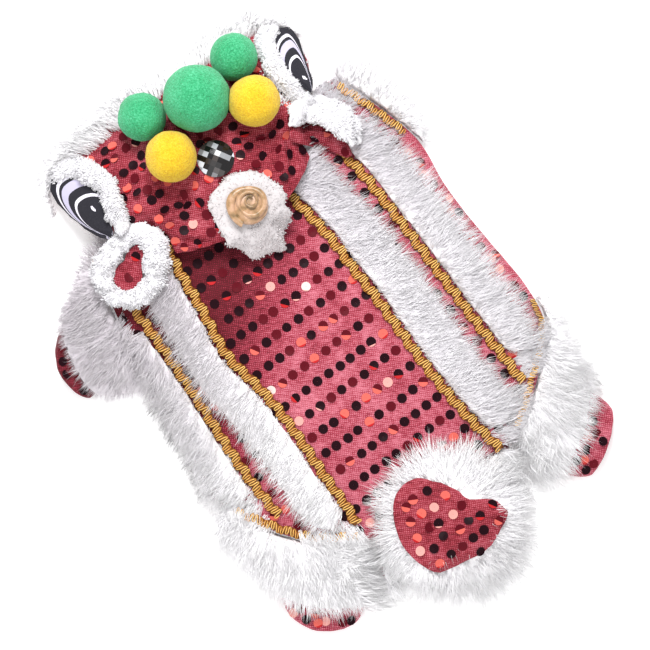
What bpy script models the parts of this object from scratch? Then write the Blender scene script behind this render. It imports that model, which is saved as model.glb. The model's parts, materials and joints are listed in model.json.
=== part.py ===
"""Lion dance costume for a small pet: a sequinned four-legged suit laid flat, belly down, with its hat.

+Y points from the tail to the hat and +Z up. The origin is on the underside of the belly cloth.
Lengths in this script are in millimetres, and MM turns them into metres when a mesh is made.
"""

import math
from typing import NamedTuple

import bmesh
import bpy
from mathutils import Vector
from mathutils.bvhtree import BVHTree

MM = 0.001

# Cloth and clearances
CLOTH_WALL = 2.0
GAP = 0.45
SEAM_GAP = 0.85
SIDE_HEIGHT = 3.3
ARCH_POWER = 2.6

# Trims that lie on the back
BRAID_WIDTH = 6.4
BRAID_THICK = 2.0
BAND_HEIGHT = 3.6
BAND_LOCK = 0.7
BAND_LEAN = 5.0
BAND_STEP = 8.0
FLANK_MARGIN = 3.0
HEM_MARGIN = 8.0
HEM_SLANT_MARGIN = 11.5

# Sleeves and cuffs
FUR_RISE = 3.0
FUR_WALL_TOP = 4.6
FUR_WALL_SIDE = 3.0
FUR_WALL_FLOOR = 2.2
SLEEVE_LOCK = 1.1
SLEEVE_TIP = 3.5
CUFF_WALL = 1.8
CUFF_HEIGHT = 12.2
CUFF_START = 1.0

# Hat
HAT_WALL = 2.0
HAT_POWER = 2.4
HAT_FALL = 1.7


class Station(NamedTuple):
    """One section across the suit: its seams, flanks and the centres of its braids, from left to right."""

    y: float
    seam_left: float
    flank_left: float
    outer_left: float
    inner_left: float
    inner_right: float
    outer_right: float
    flank_right: float
    seam_right: float
    crown: float


STATIONS = (
    Station(118, -80.0, -104, -76.0, -36.0, 36.0, 75.0, 116.0, 101.0, 19.0),
    Station(108, -81.5, -111, -76.0, -37.0, 37.0, 76.5, 121.0, 105.5, 20.0),
    Station(96, -83.0, -116, -76.0, -38.5, 38.0, 77.5, 127.0, 110.0, 20.5),
    Station(84, -85.0, -119, -75.5, -39.5, 38.5, 78.5, 130.0, 114.0, 21.0),
    Station(72, -87.5, -120, -75.5, -41.0, 39.0, 79.5, 131.0, 118.0, 21.0),
    Station(60, -90.0, -118, -75.0, -42.0, 41.5, 81.5, 128.0, 121.0, 21.5),
    Station(48, -93.0, -112, -75.0, -43.0, 43.0, 82.0, 123.0, 121.5, 22.0),
    Station(36, -95.0, -103, -75.2, -45.0, 44.0, 82.6, 119.6, 119.4, 22.0),
    Station(24, -96.5, -97, -75.6, -46.4, 44.0, 83.0, 118.8, 118.6, 22.0),
    Station(12, -97.0, -97.2, -76.0, -46.0, 44.4, 83.3, 119.0, 118.8, 22.0),
    Station(0, -97.6, -97.8, -76.5, -43.4, 45.0, 83.5, 119.6, 119.4, 22.0),
    Station(-12, -98.7, -98.9, -77.4, -41.6, 45.0, 83.8, 120.5, 120.3, 22.0),
    Station(-24, -101.0, -101.2, -78.1, -40.6, 45.0, 84.1, 121.6, 121.4, 22.0),
    Station(-36, -103.6, -103.8, -78.4, -40.4, 45.0, 84.3, 122.8, 122.6, 22.0),
    Station(-48, -105.0, -108, -78.5, -40.4, 45.1, 84.5, 124.8, 123.0, 22.0),
    Station(-60, -99.5, -114, -78.0, -40.8, 45.5, 85.0, 127.5, 122.4, 22.0),
    Station(-72, -91.5, -117, -77.3, -41.3, 46.2, 85.6, 127.5, 120.6, 21.5),
    Station(-84, -83.8, -117, -76.0, -41.4, 47.2, 86.3, 126.0, 112.5, 21.0),
    Station(-95, -75.0, -115, -76.0, -41.2, 48.4, 86.3, 124.0, 99.5, 20.0),
    Station(-104, -65.0, -112, -76.0, -42.4, 49.6, 86.3, 122.0, 88.5, 19.0),
    Station(-112, -53.0, -110, -76.0, -44.6, 51.2, 86.3, 120.0, 78.5, 18.5),
    Station(-119, -44.0, -108, -76.0, -46.0, 52.4, 86.3, 120.0, 65.0, 18.0),
    Station(-120.6, -41.0, -108, -76.0, -46.0, 52.4, 86.3, 120.0, 59.0, 18.0),
    Station(-131, -43.5, -108, -76.0, -46.0, 52.4, 86.3, 120.0, 56.0, 16.5),
    Station(-141, -49.5, -108, -76.0, -46.0, 52.4, 86.3, 120.0, 54.0, 14.5),
    Station(-150, -54.0, -108, -76.0, -46.0, 52.4, 86.3, 120.0, 54.0, 12.0),
)
BACK_ROWS = tuple(row.y for row in STATIONS if row.y >= -119)
RUMP_ROWS = tuple(row.y for row in STATIONS if row.y < -119)
BACK_COLUMNS = (-1, -0.985, -0.94, -0.86, -0.74, -0.6, -0.44, -0.28, -0.13,
                0.02, 0.17, 0.31, 0.45, 0.6, 0.74, 0.86, 0.94, 0.985, 1)


class Fold(NamedTuple):
    """A soft ridge in the back cloth: its middle, its direction in degrees from +X, and its sizes."""

    x: float
    y: float
    turn: float
    reach: float
    width: float
    lift: float


FOLDS = (
    Fold(-8, 34, 12, 38, 17, 1.3),
    Fold(14, -12, -8, 42, 18, 1.1),
    Fold(-12, -52, 10, 40, 17, 1.2),
    Fold(16, -88, -14, 38, 17, 1.4),
    Fold(112, 4, 88, 44, 8, 1.0),
    Fold(-90, -18, 84, 36, 9, 1.0),
)


class Ring(NamedTuple):
    """One section of a sleeve or cuff: its two ends on the floor plan, the bow between them, its height."""

    ax: float
    ay: float
    bx: float
    by: float
    bow: float
    height: float


class Sleeve(NamedTuple):
    """A hollow fur sleeve that starts along the back's seam, and the cuff at its end."""

    side: str
    y_from: float
    y_to: float
    rings: tuple
    cuff: tuple
    cuff_floor: float


SLEEVES = {
    "front_left": Sleeve(
        "seam_left", 117.5, 27,
        (Ring(-91, 113, -107, 34, 4, 19), Ring(-103, 105, -117, 40, 5, 18.5),
         Ring(-113, 96, -123, 43, 5, 18)),
        (Ring(-123, 89, -129, 46, 6, 12.2), Ring(-128, 84, -131.5, 50, 5, 11.2)), 0.0),
    "front_right": Sleeve(
        "seam_right", 117.5, 53,
        (Ring(105.5, 121.5, 125, 58, 5, 18.5), Ring(109, 127, 128.5, 64, 8, 17)),
        (Ring(106.5, 112, 123, 70, 3.5, 8.8), Ring(111, 114.5, 127, 73, 7.2, 8.4)), 2.8),
    "rear_left": Sleeve(
        "seam_left", -51, -118.2,
        (Ring(-112, -62, -50, -130.5, 10, 20), Ring(-116, -76, -57, -141, 9, 19),
         Ring(-112, -90, -62, -147, 8, 18.5), Ring(-106, -107, -66.5, -148, 6, 18)),
        (Ring(-108, -122, -75, -152, 6, 12.2), Ring(-107, -131, -81, -154.5, 5, 11.2)), 0.0),
    "rear_right": Sleeve(
        "seam_right", -57, -118.2,
        (Ring(126.5, -66, 62, -130.5, 12, 20), Ring(126.5, -82, 59, -141.5, 9, 19),
         Ring(122.5, -98, 61, -149, 7, 18.5), Ring(119.5, -119, 69.5, -154.5, 4, 18)),
        (Ring(121.5, -133, 79.5, -161.5, 4, 12.2), Ring(122, -140, 87, -166, 4, 11.2)), 0.0),
}


class HatRow(NamedTuple):
    """One section across the hat: its line, its two edges, the height of its crown and edges, its bow."""

    y: float
    left: float
    right: float
    crown: float
    rim: float
    bow: float


HAT_RIDGE_X = 22.0
HAT_ROWS = (
    HatRow(86, -37, 63, 37.5, 27.3, 15.5),
    HatRow(95, -34.5, 63.5, 41, 27.3, 12),
    HatRow(106, -34.5, 65, 43.5, 27.3, 8),
    HatRow(117, -55, 83, 44, 26.4, 4),
    HatRow(126, -71, 92, 43, 20, 2),
    HatRow(138, -78, 96.5, 39.5, 9, 0),
    HatRow(150, -80, 97, 33.5, 2.6, 0),
    HatRow(160, -77.5, 94, 26, 1.4, -1),
    HatRow(168, -71, 87, 16, 1.4, -2),
    HatRow(173, -60, 77, 7.5, 1.4, -3.5),
    HatRow(174, -58, 75, 1.4, 1.4, -4),
)
HAT_COLUMNS = (-1, -0.975, -0.9, -0.8, -0.67, -0.52, -0.36, -0.18,
               0, 0.2, 0.4, 0.58, 0.74, 0.87, 0.96, 1)

# Outline of the fur round the hat's top end, from the left side over the top to the right side
HAT_FUR_TIPS = ((-86, 148), (-85, 158), (-82, 167), (-73, 176), (-60, 182), (-44, 183), (-28, 184),
                (-12, 187), (5, 186.5), (22, 183.5), (40, 184), (58, 185), (74, 182), (90, 177),
                (99, 170), (103, 161), (102, 150))


class Pompom(NamedTuple):
    """A pompom on the hat, seated on what lies under it."""

    x: float
    y: float
    radius: float
    colour: str


POMPOMS = {
    "yellow_left": Pompom(-4.5, 132.3, 13.6, "yellow"),
    "yellow_right": Pompom(53.3, 130.4, 13.8, "yellow"),
    "green_left": Pompom(-5.0, 162.0, 13.6, "green"),
    "green_right": Pompom(59.0, 159.5, 12.8, "green"),
    "green_centre": Pompom(27.2, 151.0, 18.4, "green"),
}
POMPOM_SEGMENTS = 12
POMPOM_RINGS = 8
POMPOM_TUFT = 0.035

MIRROR_AT = (15.9, 116.7)
MIRROR_RADIUS = 11.0
MIRROR_TABLE = 6.2
MIRROR_HEIGHT = 4.6

NOSE_AT = (16.0, 83.0)
# Reach of the muzzle's plush from its middle, by direction in degrees
NOSE_REACH = ((0, 21), (60, 20), (120, 20), (180, 22), (225, 30), (270, 33), (315, 28), (360, 21))
NOSE_TIP = 2.5
NOSE_THICK = 3.6
MUZZLE_LOW = 23.2
MUZZLE_SLOPE = 0.75
ROSETTE_AT = (15.4, 85.6)
ROSETTE_RADIUS = 12.0
ROSETTE_HEIGHT = 6.0

EYE_LEFT = ((-67, 162), (-72.5, 157), (-75, 150), (-74.5, 141), (-71, 131), (-65, 125), (-59, 121),
            (-56, 124), (-53, 132), (-51.5, 141), (-52.8, 149), (-56.5, 156), (-61.5, 160.8))
EYE_RIGHT = ((83.5, 120.5), (89, 127), (93.5, 136), (94.5, 146), (92.5, 155), (87.5, 158), (82.5, 154),
             (80.5, 146), (80.2, 136), (81.5, 126))
EYE_THICK = 1.2
LID_LEFT = ((-72.5, 164), (-66, 167.2), (-57.5, 165), (-50.5, 158), (-47, 149), (-46, 139), (-47.3, 129),
            (-51, 121))
LID_RIGHT = ((89, 161.5), (82, 161.5), (76.5, 156), (74.5, 146), (74.2, 135), (75.2, 125), (77.5, 118.5))
LID_WIDTH = 7.6
LID_HEIGHT = 5.2

EAR_LEFT_AT = (-61.5, 93.5)
EAR_LEFT_OUTER = (25.0, 20.5)
EAR_LEFT_INNER = (11.0, 9.5)
EAR_LEFT_TILT = 0.1
EAR_PLUSH_HEIGHT = 10.0
# Section of the plush ring: share of the way from its inner to its outer edge, share of its height
EAR_PLUSH_SECTION = ((0.2, 0), (0.8, 0), (1.0, 0.4), (0.85, 0.85), (0.5, 1.0), (0.15, 0.85), (0.02, 0.4))
EAR_RIGHT_PATH = ((72.5, 106), (77, 100.5), (80.5, 93), (82, 84.5), (82, 76))
EAR_RIGHT_WIDTHS = (9.5, 13, 13.5, 12.5, 8)
EAR_RIGHT_RISE = 5.0
EAR_WALL = 1.5
EAR_PLUSH_RIGHT_PATH = ((81.5, 108.5), (87.5, 106.5), (92.5, 101), (94.5, 92), (94, 83))

TAIL_AT = (4.0, -140.0)
TAIL_REACH = (42.0, 45.0)
TAIL_TIP = 3.5
TAIL_THICK = 14.0
TAIL_SPOKES = 26
TAIL_FLOOR = 1.2
TAIL_PATCH = ((0, -104), (9, -111), (14, -121), (22, -129), (33, -140), (34, -150), (27, -157),
              (10, -160), (-6, -162), (-19, -157), (-26, -145), (-27, -131), (-21, -116), (-11, -107))
PATCH_THICK = 1.4

RED = (0.62, 0.13, 0.19)
SEQUIN_RED = (0.35, 0.05, 0.09)
WHITE_FUR = (0.90, 0.89, 0.92)
GOLD = (0.80, 0.50, 0.14)
GREEN = (0.16, 0.62, 0.36)
YELLOW = (0.96, 0.82, 0.12)
SMOKE = (0.05, 0.05, 0.06)
SATIN = (0.82, 0.66, 0.40)
EYE_PRINT = (0.14, 0.13, 0.17)


def start_empty():
    """Remove every object and return the collection that holds the costume."""
    for item in list(bpy.data.objects):
        bpy.data.objects.remove(item, do_unlink=True)
    holder = bpy.data.collections.new("lion_dance_costume")
    bpy.context.scene.collection.children.link(holder)
    return holder


def finish(name, colour, roughness, metallic=0.0):
    """One piece's own Principled material."""
    material = bpy.data.materials.new(name + "_finish")
    material.use_nodes = True
    shader = material.node_tree.nodes["Principled BSDF"]
    shader.inputs["Base Color"].default_value = (*colour, 1.0)
    shader.inputs["Roughness"].default_value = roughness
    shader.inputs["Metallic"].default_value = metallic
    material.diffuse_color = (*colour, 1.0)
    return material


def mesh_piece(name, points, faces, material, closed=True):
    """A mesh object from points in millimetres. A closed one gets its faces turned outwards."""
    mesh = bpy.data.meshes.new(name)
    mesh.from_pydata([(x * MM, y * MM, z * MM) for x, y, z in points], [], faces)
    if closed:
        work = bmesh.new()
        work.from_mesh(mesh)
        bmesh.ops.recalc_face_normals(work, faces=work.faces)
        work.to_mesh(mesh)
        work.free()
    mesh.materials.append(material)
    mesh.shade_smooth()
    piece = bpy.data.objects.new(name, mesh)
    bpy.data.collections["lion_dance_costume"].objects.link(piece)
    return piece


def grid_faces(rows, columns, wrap=False, start=0):
    """Quads between the rows of a grid of points. With wrap, each row closes on itself."""
    faces = []
    for r in range(rows - 1):
        for c in range(columns if wrap else columns - 1):
            right = (c + 1) % columns
            low = start + r * columns
            faces.append((low + c, low + right, low + columns + right, low + columns + c))
    return faces


def sheet_piece(name, rows, wall, material, outward=-1.0):
    """An open sheet through rows of points, with Solidify's wall added inwards (-1) or outwards (1)."""
    points = [point for row in rows for point in row]
    piece = mesh_piece(name, points, grid_faces(len(rows), len(rows[0])), material, closed=False)
    if piece.data.polygons[0].normal.z < 0:
        piece.data.flip_normals()
    solid = piece.modifiers.new("wall", "SOLIDIFY")
    solid.thickness = wall * MM
    solid.offset = outward
    return piece


def slab_piece(name, top, bottom, material):
    """A closed slab between two grids of points of the same size."""
    rows = len(top)
    columns = len(top[0])
    points = [p for row in top for p in row] + [p for row in bottom for p in row]
    under = rows * columns
    faces = grid_faces(rows, columns) + grid_faces(rows, columns, start=under)
    rim = [(0, c) for c in range(columns)] + [(r, columns - 1) for r in range(1, rows)]
    rim += [(rows - 1, c) for c in range(columns - 2, -1, -1)] + [(r, 0) for r in range(rows - 2, 0, -1)]
    for (r1, c1), (r2, c2) in zip(rim, rim[1:] + rim[:1]):
        one = r1 * columns + c1
        two = r2 * columns + c2
        faces.append((one, two, two + under, one + under))
    return mesh_piece(name, points, faces, material)


def tube_piece(name, outer, inner, material):
    """A closed wall between two sets of rings, open at both ends."""
    count = len(outer[0])
    points = [p for ring in outer for p in ring] + [p for ring in inner for p in ring]
    inside = len(outer) * count
    faces = grid_faces(len(outer), count, wrap=True)
    faces += grid_faces(len(inner), count, wrap=True, start=inside)
    for end in (0, len(outer) - 1):
        for c in range(count):
            one = end * count + c
            two = end * count + (c + 1) % count
            faces.append((one, two, two + inside, one + inside))
    return mesh_piece(name, points, faces, material)


def disc_piece(name, centre, top_rings, bottom_rings, material):
    """A closed disc from rings of points, inner to outer, round a middle of (x, y, top, bottom)."""
    count = len(top_rings[0])
    x, y, high, low = centre
    points = [(x, y, high)] + [p for ring in top_rings for p in ring]
    under = len(points)
    points += [(x, y, low)] + [p for ring in bottom_rings for p in ring]
    faces = []
    for base in (0, under):
        faces += [(base, base + 1 + c, base + 1 + (c + 1) % count) for c in range(count)]
        faces += grid_faces(len(top_rings), count, wrap=True, start=base + 1)
    edge = (len(top_rings) - 1) * count
    for c in range(count):
        one = 1 + edge + c
        two = 1 + edge + (c + 1) % count
        faces.append((one, two, under + two, under + one))
    return mesh_piece(name, points, faces, material)


def table_value(rows, at, key, column):
    """A column of a table read at a place on its key column, on a smooth curve through the rows."""
    keys = [getattr(row, key) for row in rows]
    values = [getattr(row, column) for row in rows]
    if keys[0] > keys[-1]:
        keys.reverse()
        values.reverse()
    if at <= keys[0]:
        return values[0]
    if at >= keys[-1]:
        return values[-1]
    i = max(n for n in range(len(keys) - 1) if keys[n] <= at)
    span = keys[i + 1] - keys[i]
    t = (at - keys[i]) / span
    before = max(i - 1, 0)
    after = min(i + 2, len(keys) - 1)
    slope_a = (values[i + 1] - values[before]) / (keys[i + 1] - keys[before]) * span
    slope_b = (values[after] - values[i]) / (keys[after] - keys[i]) * span
    a = 2 * t**3 - 3 * t**2 + 1
    b = t**3 - 2 * t**2 + t
    c = -2 * t**3 + 3 * t**2
    d = t**3 - t**2
    return a * values[i] + b * slope_a + c * values[i + 1] + d * slope_b


def station(y, column):
    """A column of the suit's stations at y."""
    return table_value(STATIONS, y, "y", column)


def fold_lift(x, y):
    """Height that the folds add to the back at a place."""
    lift = 0.0
    for fold in FOLDS:
        turn = math.radians(fold.turn)
        along = (x - fold.x) * math.cos(turn) + (y - fold.y) * math.sin(turn)
        across = (y - fold.y) * math.cos(turn) - (x - fold.x) * math.sin(turn)
        lift += fold.lift * math.exp(-((along / fold.reach) ** 4) - (across / fold.width) ** 2)
    return lift


def suit_top(x, y):
    """Height of the outside of the back cloth, an arch between the two flanks."""
    left = station(y, "flank_left")
    right = station(y, "flank_right")
    s = min(abs(x - (left + right) / 2) / ((right - left) / 2), 1.0)
    arch = math.sqrt(1 - s**ARCH_POWER)
    return SIDE_HEIGHT + (station(y, "crown") - SIDE_HEIGHT + fold_lift(x, y)) * arch


class Ground:
    """The surface that other pieces lie on: the outside of some pieces, seen from above."""

    def __init__(self, pieces):
        """Read the evaluated meshes of the pieces, in metres."""
        graph = bpy.context.evaluated_depsgraph_get()
        points = []
        faces = []
        for piece in pieces:
            mesh = piece.evaluated_get(graph).to_mesh()
            start = len(points)
            points += [piece.matrix_world @ v.co for v in mesh.vertices]
            faces += [[start + i for i in face.vertices] for face in mesh.polygons]
        self.tree = BVHTree.FromPolygons(points, faces)

    def height(self, x, y, reach=0.0):
        """Highest surface at or within reach of a place, in millimetres, or 0 where there is none."""
        best = 0.0
        spots = [(0, 0)] + [(reach * math.cos(a), reach * math.sin(a))
                            for a in (0, 0.785, 1.571, 2.356, 3.142, 3.927, 4.712, 5.498) if reach > 0]
        for dx, dy in spots:
            hit = self.tree.ray_cast(Vector(((x + dx) * MM, (y + dy) * MM, 1.0)), Vector((0, 0, -1)))
            if hit[0] is not None:
                best = max(best, hit[0].z / MM)
        return best

    def distance(self, x, y, z):
        """Distance from a point to the nearest surface, in millimetres."""
        return self.tree.find_nearest(Vector((x * MM, y * MM, z * MM)))[3] / MM

    def normal(self, x, y):
        """Direction of the surface at a place."""
        hit = self.tree.ray_cast(Vector((x * MM, y * MM, 1.0)), Vector((0, 0, -1)))
        return hit[1]


def clearing_lift(ground, rows, wrap=False):
    """Height to add to an underside so that its facets, not only its points, stay clear of the ground."""
    lift = 0.0
    columns = len(rows[0])
    for r in range(len(rows)):
        for c in range(columns if wrap else columns - 1):
            beside = (c + 1) % columns
            edges = [(rows[r][c], rows[r][beside])]
            if r + 1 < len(rows):
                edges += [(rows[r][c], rows[r + 1][c]), (rows[r][c], rows[r + 1][beside]),
                          (rows[r][beside], rows[r + 1][c])]
            for start, end in edges:
                for share in (0.25, 0.5, 0.75):
                    x, y, z = (a + (b - a) * share for a, b in zip(start, end))
                    lift = max(lift, ground.height(x, y) + GAP * 0.75 - z)
    return lift


def raised(rows, lift):
    """Rows of points moved up."""
    return [[(x, y, z + lift) for x, y, z in row] for row in rows]


def make_back_cloth():
    """The arched upper sheet of the suit, from the neck edge to the rear hem."""
    rows = []
    for y in BACK_ROWS:
        left = station(y, "seam_left")
        right = station(y, "seam_right")
        row = []
        for c in BACK_COLUMNS:
            x = (left + right) / 2 + c * (right - left) / 2
            row.append((x, y, suit_top(x, y)))
        rows.append(row)
    return sheet_piece("back_cloth", rows, CLOTH_WALL, finish("back_cloth", RED, 0.75))


def make_belly_cloth():
    """The flat lower sheet, whose edges follow the same seams."""
    rows = []
    for y in BACK_ROWS + RUMP_ROWS[1:]:
        left = station(y, "seam_left")
        right = station(y, "seam_right")
        rows.append([(left + (right - left) * c, y, CLOTH_WALL) for c in (0, 0.5, 1)])
    return sheet_piece("belly_cloth", rows, CLOTH_WALL, finish("belly_cloth", RED, 0.8))


def make_rump_fur():
    """The furred arch behind the hem, under the tail."""
    rows = []
    inset = 2.2
    for r, y in enumerate(RUMP_ROWS):
        left = station(y, "seam_left") + inset
        right = station(y, "seam_right") - inset
        row = []
        for i in range(13):
            x = left + (right - left) * i / 12
            tuft = BAND_LOCK if (i + r) % 2 else -BAND_LOCK
            reach = -BAND_LEAN if r == len(RUMP_ROWS) - 1 and i % 2 else 0.0
            row.append((x, y + reach, suit_top(x, y) + tuft))
        rows.append(row)
    return sheet_piece("rump_fur", rows, 3.0, finish("rump_fur", WHITE_FUR, 0.95))


def make_strip(name, path, ground, width=BRAID_WIDTH, thick=BRAID_THICK, colour=GOLD, metallic=0.5):
    """A flat band along a path of (x, y), lying on the ground."""
    rows = []
    for i, (x, y) in enumerate(path):
        ahead = path[min(i + 1, len(path) - 1)]
        behind = path[max(i - 1, 0)]
        run = Vector((ahead[0] - behind[0], ahead[1] - behind[1])).normalized()
        row = []
        for c in (-0.5, 0, 0.5):
            px = x - run.y * c * width
            py = y + run.x * c * width
            row.append((px, py, ground.height(px, py, 0.9) + GAP))
        rows.append(row)
    rows = raised(rows, clearing_lift(ground, rows))
    return sheet_piece(name, rows, thick, finish(name, colour, 0.4, metallic), outward=1.0)


def steps_between(low, high, step):
    """Evenly spaced values from low to high, about a step apart."""
    count = max(2, round(abs(high - low) / step))
    return [low + (high - low) * i / count for i in range(count + 1)]


def make_long_braids(ground):
    """The four braids that run from the neck to the rear hem."""
    ends = {"inner_left": -101.0, "inner_right": -110.0, "outer_left": -73.0, "outer_right": -91.5}
    braids = []
    for column, low in ends.items():
        path = [(station(y, column), y) for y in steps_between(116.5, low, 10.5)]
        kind, side = column.split("_")
        braids.append(make_strip(f"{kind}_braid_{side}", path, ground))
    return braids


def make_hem_braids(ground):
    """The braids along the seams where a sleeve starts."""
    spans = {
        "hem_braid_rear_left": ("seam_left", -56.0, -118.5, 1),
        "hem_braid_rear_right": ("seam_right", -56.0, -118.5, -1),
        "hem_braid_front_right": ("seam_right", 117.0, 63.0, -1),
    }
    braids = []
    for name, (column, start, end, inwards) in spans.items():
        line = [Vector((station(y, column), y)) for y in steps_between(start, end, 6.5)]
        path = []
        for i, point in enumerate(line):
            run = (line[min(i + 1, len(line) - 1)] - line[max(i - 1, 0)]).normalized()
            inside = Vector((-run.y, run.x))
            if inside.x * inwards < 0:
                inside = -inside
            path.append(tuple(point + inside * (BRAID_WIDTH / 2 + 0.4)))
        braids.append(make_strip(name, path, ground))
    return braids


def band_limit(side, y):
    """How far out a fur band may reach at y, short of the hem's braid or the flank."""
    if side == "left":
        margin = HEM_SLANT_MARGIN if y < -46 else FLANK_MARGIN
        return station(y, "seam_left") + margin
    if y < -62 or y > 84:
        margin = HEM_SLANT_MARGIN + max(0.0, -98 - y) * 0.35
    else:
        margin = HEM_MARGIN if y < -48 or y > 50 else FLANK_MARGIN
    return station(y, "seam_right") - margin


def make_fur_band(name, side, column, tips, y_from, y_to, ground):
    """A fur band beside a braid: locks that lie outwards and lean a little to the tail, with free tips."""
    sign = -1 if side == "left" else 1
    root_offset = BRAID_WIDTH / 2 + 0.9
    top = []
    bottom = []
    for i, y in enumerate(steps_between(y_from, y_to, BAND_STEP)):
        root = station(y, column) + sign * root_offset
        reach = root + sign * (tips if i % 2 else tips - 5.0)
        tip_y = y - BAND_LEAN
        limit = band_limit(side, tip_y)
        if column.startswith("inner"):
            outer = station(tip_y, column.replace("inner", "outer")) - sign * (root_offset + 0.3)
            limit = outer if (limit - outer) * sign > 0 else limit
        reach = limit if (reach - limit) * sign > 0 else reach
        if (reach - root) * sign < 5.0:
            break
        lock = BAND_LOCK if i % 2 else -BAND_LOCK
        top_row = []
        bottom_row = []
        for c, share in ((0, 0.7), (0.33, 1.0), (0.7, 0.85), (1, 0.3)):
            x = root + (reach - root) * c
            py = y - BAND_LEAN * c
            low = ground.height(x, py, 1.0) + GAP
            bottom_row.append((x, py, low))
            top_row.append((x, py, low + BAND_HEIGHT * share + lock * share))
        top.append(top_row)
        bottom.append(bottom_row)
    lift = clearing_lift(ground, bottom)
    return slab_piece(name, raised(top, lift), raised(bottom, lift), finish(name, WHITE_FUR, 0.95))


def make_fur_bands(ground):
    """The four fur bands along the back."""
    return [
        make_fur_band("inner_fur_left", "left", "inner_left", 24.0, 112, -104, ground),
        make_fur_band("inner_fur_right", "right", "inner_right", 27.0, 112, -104, ground),
        make_fur_band("outer_fur_left", "left", "outer_left", 22.0, 62, -92, ground),
        make_fur_band("outer_fur_right", "right", "outer_right", 23.0, 98, -100, ground),
    ]


def arch(u, height, side=3.0):
    """Height of a flattened tube's top at u from 0 to 1 across it."""
    return side + (height - side) * math.sqrt(max(0.0, 1 - abs(2 * u - 1) ** ARCH_POWER))


def ring_plan(ring, u):
    """Place on the floor plan at u from 0 to 1 across a ring, bowed away from the suit's middle."""
    run = Vector((ring.bx - ring.ax, ring.by - ring.ay))
    out = Vector((run.y, -run.x)).normalized()
    middle = Vector((ring.ax + ring.bx, ring.ay + ring.by)) / 2
    if out.dot(middle - Vector((8, 0))) < 0:
        out = -out
    place = Vector((ring.ax, ring.ay)) + run * u + out * ring.bow * (1 - (2 * u - 1) ** 2)
    return place, out


SLEEVE_TOP = tuple(0.04 + 0.92 * i / 12 for i in range(13))
SLEEVE_UNDER = tuple(0.05 + 0.9 * i / 6 for i in range(7))


def section(plan, top, floor, side, tip=None):
    """One ring of points round a flattened tube: under from a to b, side, top from b to a, side."""
    points = [(*plan(u), floor) for u in SLEEVE_UNDER]
    points.append((*plan(1.0), side))
    for i, u in enumerate(reversed(SLEEVE_TOP)):
        x, y = plan(u)
        dx, dy = tip(i, u) if tip else (0.0, 0.0)
        points.append((x + dx, y + dy, top(i, u)))
    points.append((*plan(0.0), side))
    return points


def make_sleeve(key, sleeve):
    """A hollow sleeve: its first ring follows the back's seam, its fur lies in locks to the cuff."""
    outwards = -SEAM_GAP if sleeve.side == "seam_left" else SEAM_GAP
    outer = []
    inner = []
    seam_width = abs(sleeve.y_from - sleeve.y_to) * 1.2
    for k in range(len(sleeve.rings) + 1):
        if k == 0:
            def plan(u):
                y = sleeve.y_from + (sleeve.y_to - sleeve.y_from) * u
                return station(y, sleeve.side) + outwards, y

            def height(u):
                return suit_top(*plan(u)) + FUR_RISE
            width = seam_width
            out = Vector((0, 0))
        else:
            ring = sleeve.rings[k - 1]

            def plan(u, ring=ring):
                return tuple(ring_plan(ring, u)[0])

            def height(u, ring=ring):
                return arch(u, ring.height)
            width = math.dist((ring.ax, ring.ay), (ring.bx, ring.by))
            out = ring_plan(ring, 0.5)[1]
        last = k == len(sleeve.rings)
        inset = FUR_WALL_SIDE / width

        def top(i, u, height=height, k=k):
            return height(u) + (SLEEVE_LOCK if (i + k) % 2 else -SLEEVE_LOCK) * (1 if k else 0.3)

        def tip(i, u, out=out, last=last):
            far = SLEEVE_TIP if last and i % 2 else 0.0
            return out.x * far, out.y * far

        def inner_plan(u, plan=plan, inset=inset):
            return plan(inset + (1 - 2 * inset) * u)

        def inner_top(i, u, height=height, inset=inset):
            return max(height(inset + (1 - 2 * inset) * u) - FUR_WALL_TOP, FUR_WALL_FLOOR + 1.2)
        outer.append(section(plan, top, 0.0, 2.6, tip))
        inner.append(section(inner_plan, inner_top, FUR_WALL_FLOOR, FUR_WALL_FLOOR + 0.8))
    name = key + "_sleeve"
    return tube_piece(name, outer, inner, finish(name, WHITE_FUR, 0.95))


def cuff_start(end):
    """The first ring of a cuff, just inside and beyond the last ring of its sleeve."""
    inset = (FUR_WALL_SIDE + 0.6) / math.dist((end.ax, end.ay), (end.bx, end.by))
    shift = ring_plan(end, 0.5)[1] * CUFF_START
    a = ring_plan(end, inset)[0] + shift
    b = ring_plan(end, 1 - inset)[0] + shift
    bow = end.bow * (1 - 2 * inset) ** 2
    return Ring(a.x, a.y, b.x, b.y, bow, CUFF_HEIGHT)


def make_cuff(key, sleeve):
    """The red cuff at the end of a sleeve, a flattened ring of cloth."""
    outer = []
    inner = []
    low = sleeve.cuff_floor
    rings = sleeve.cuff if low else (cuff_start(sleeve.rings[-1]), *sleeve.cuff)
    for ring in rings:
        inset = CUFF_WALL / math.dist((ring.ax, ring.ay), (ring.bx, ring.by))

        def plan(u, ring=ring):
            return tuple(ring_plan(ring, u)[0])

        def inner_plan(u, plan=plan, inset=inset):
            return plan(inset + (1 - 2 * inset) * u)

        def top(i, u, ring=ring):
            return low + arch(u, ring.height - low)

        def inner_top(i, u, ring=ring, inset=inset):
            v = inset + (1 - 2 * inset) * u
            return low + max(arch(v, ring.height - low) - CUFF_WALL, CUFF_WALL + 0.7)
        outer.append(section(plan, top, low, low + 2.2))
        inner.append(section(inner_plan, inner_top, low + CUFF_WALL, low + CUFF_WALL + 0.4))
    name = key + "_cuff"
    return tube_piece(name, outer, inner, finish(name, SEQUIN_RED, 0.4, 0.3))


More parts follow.
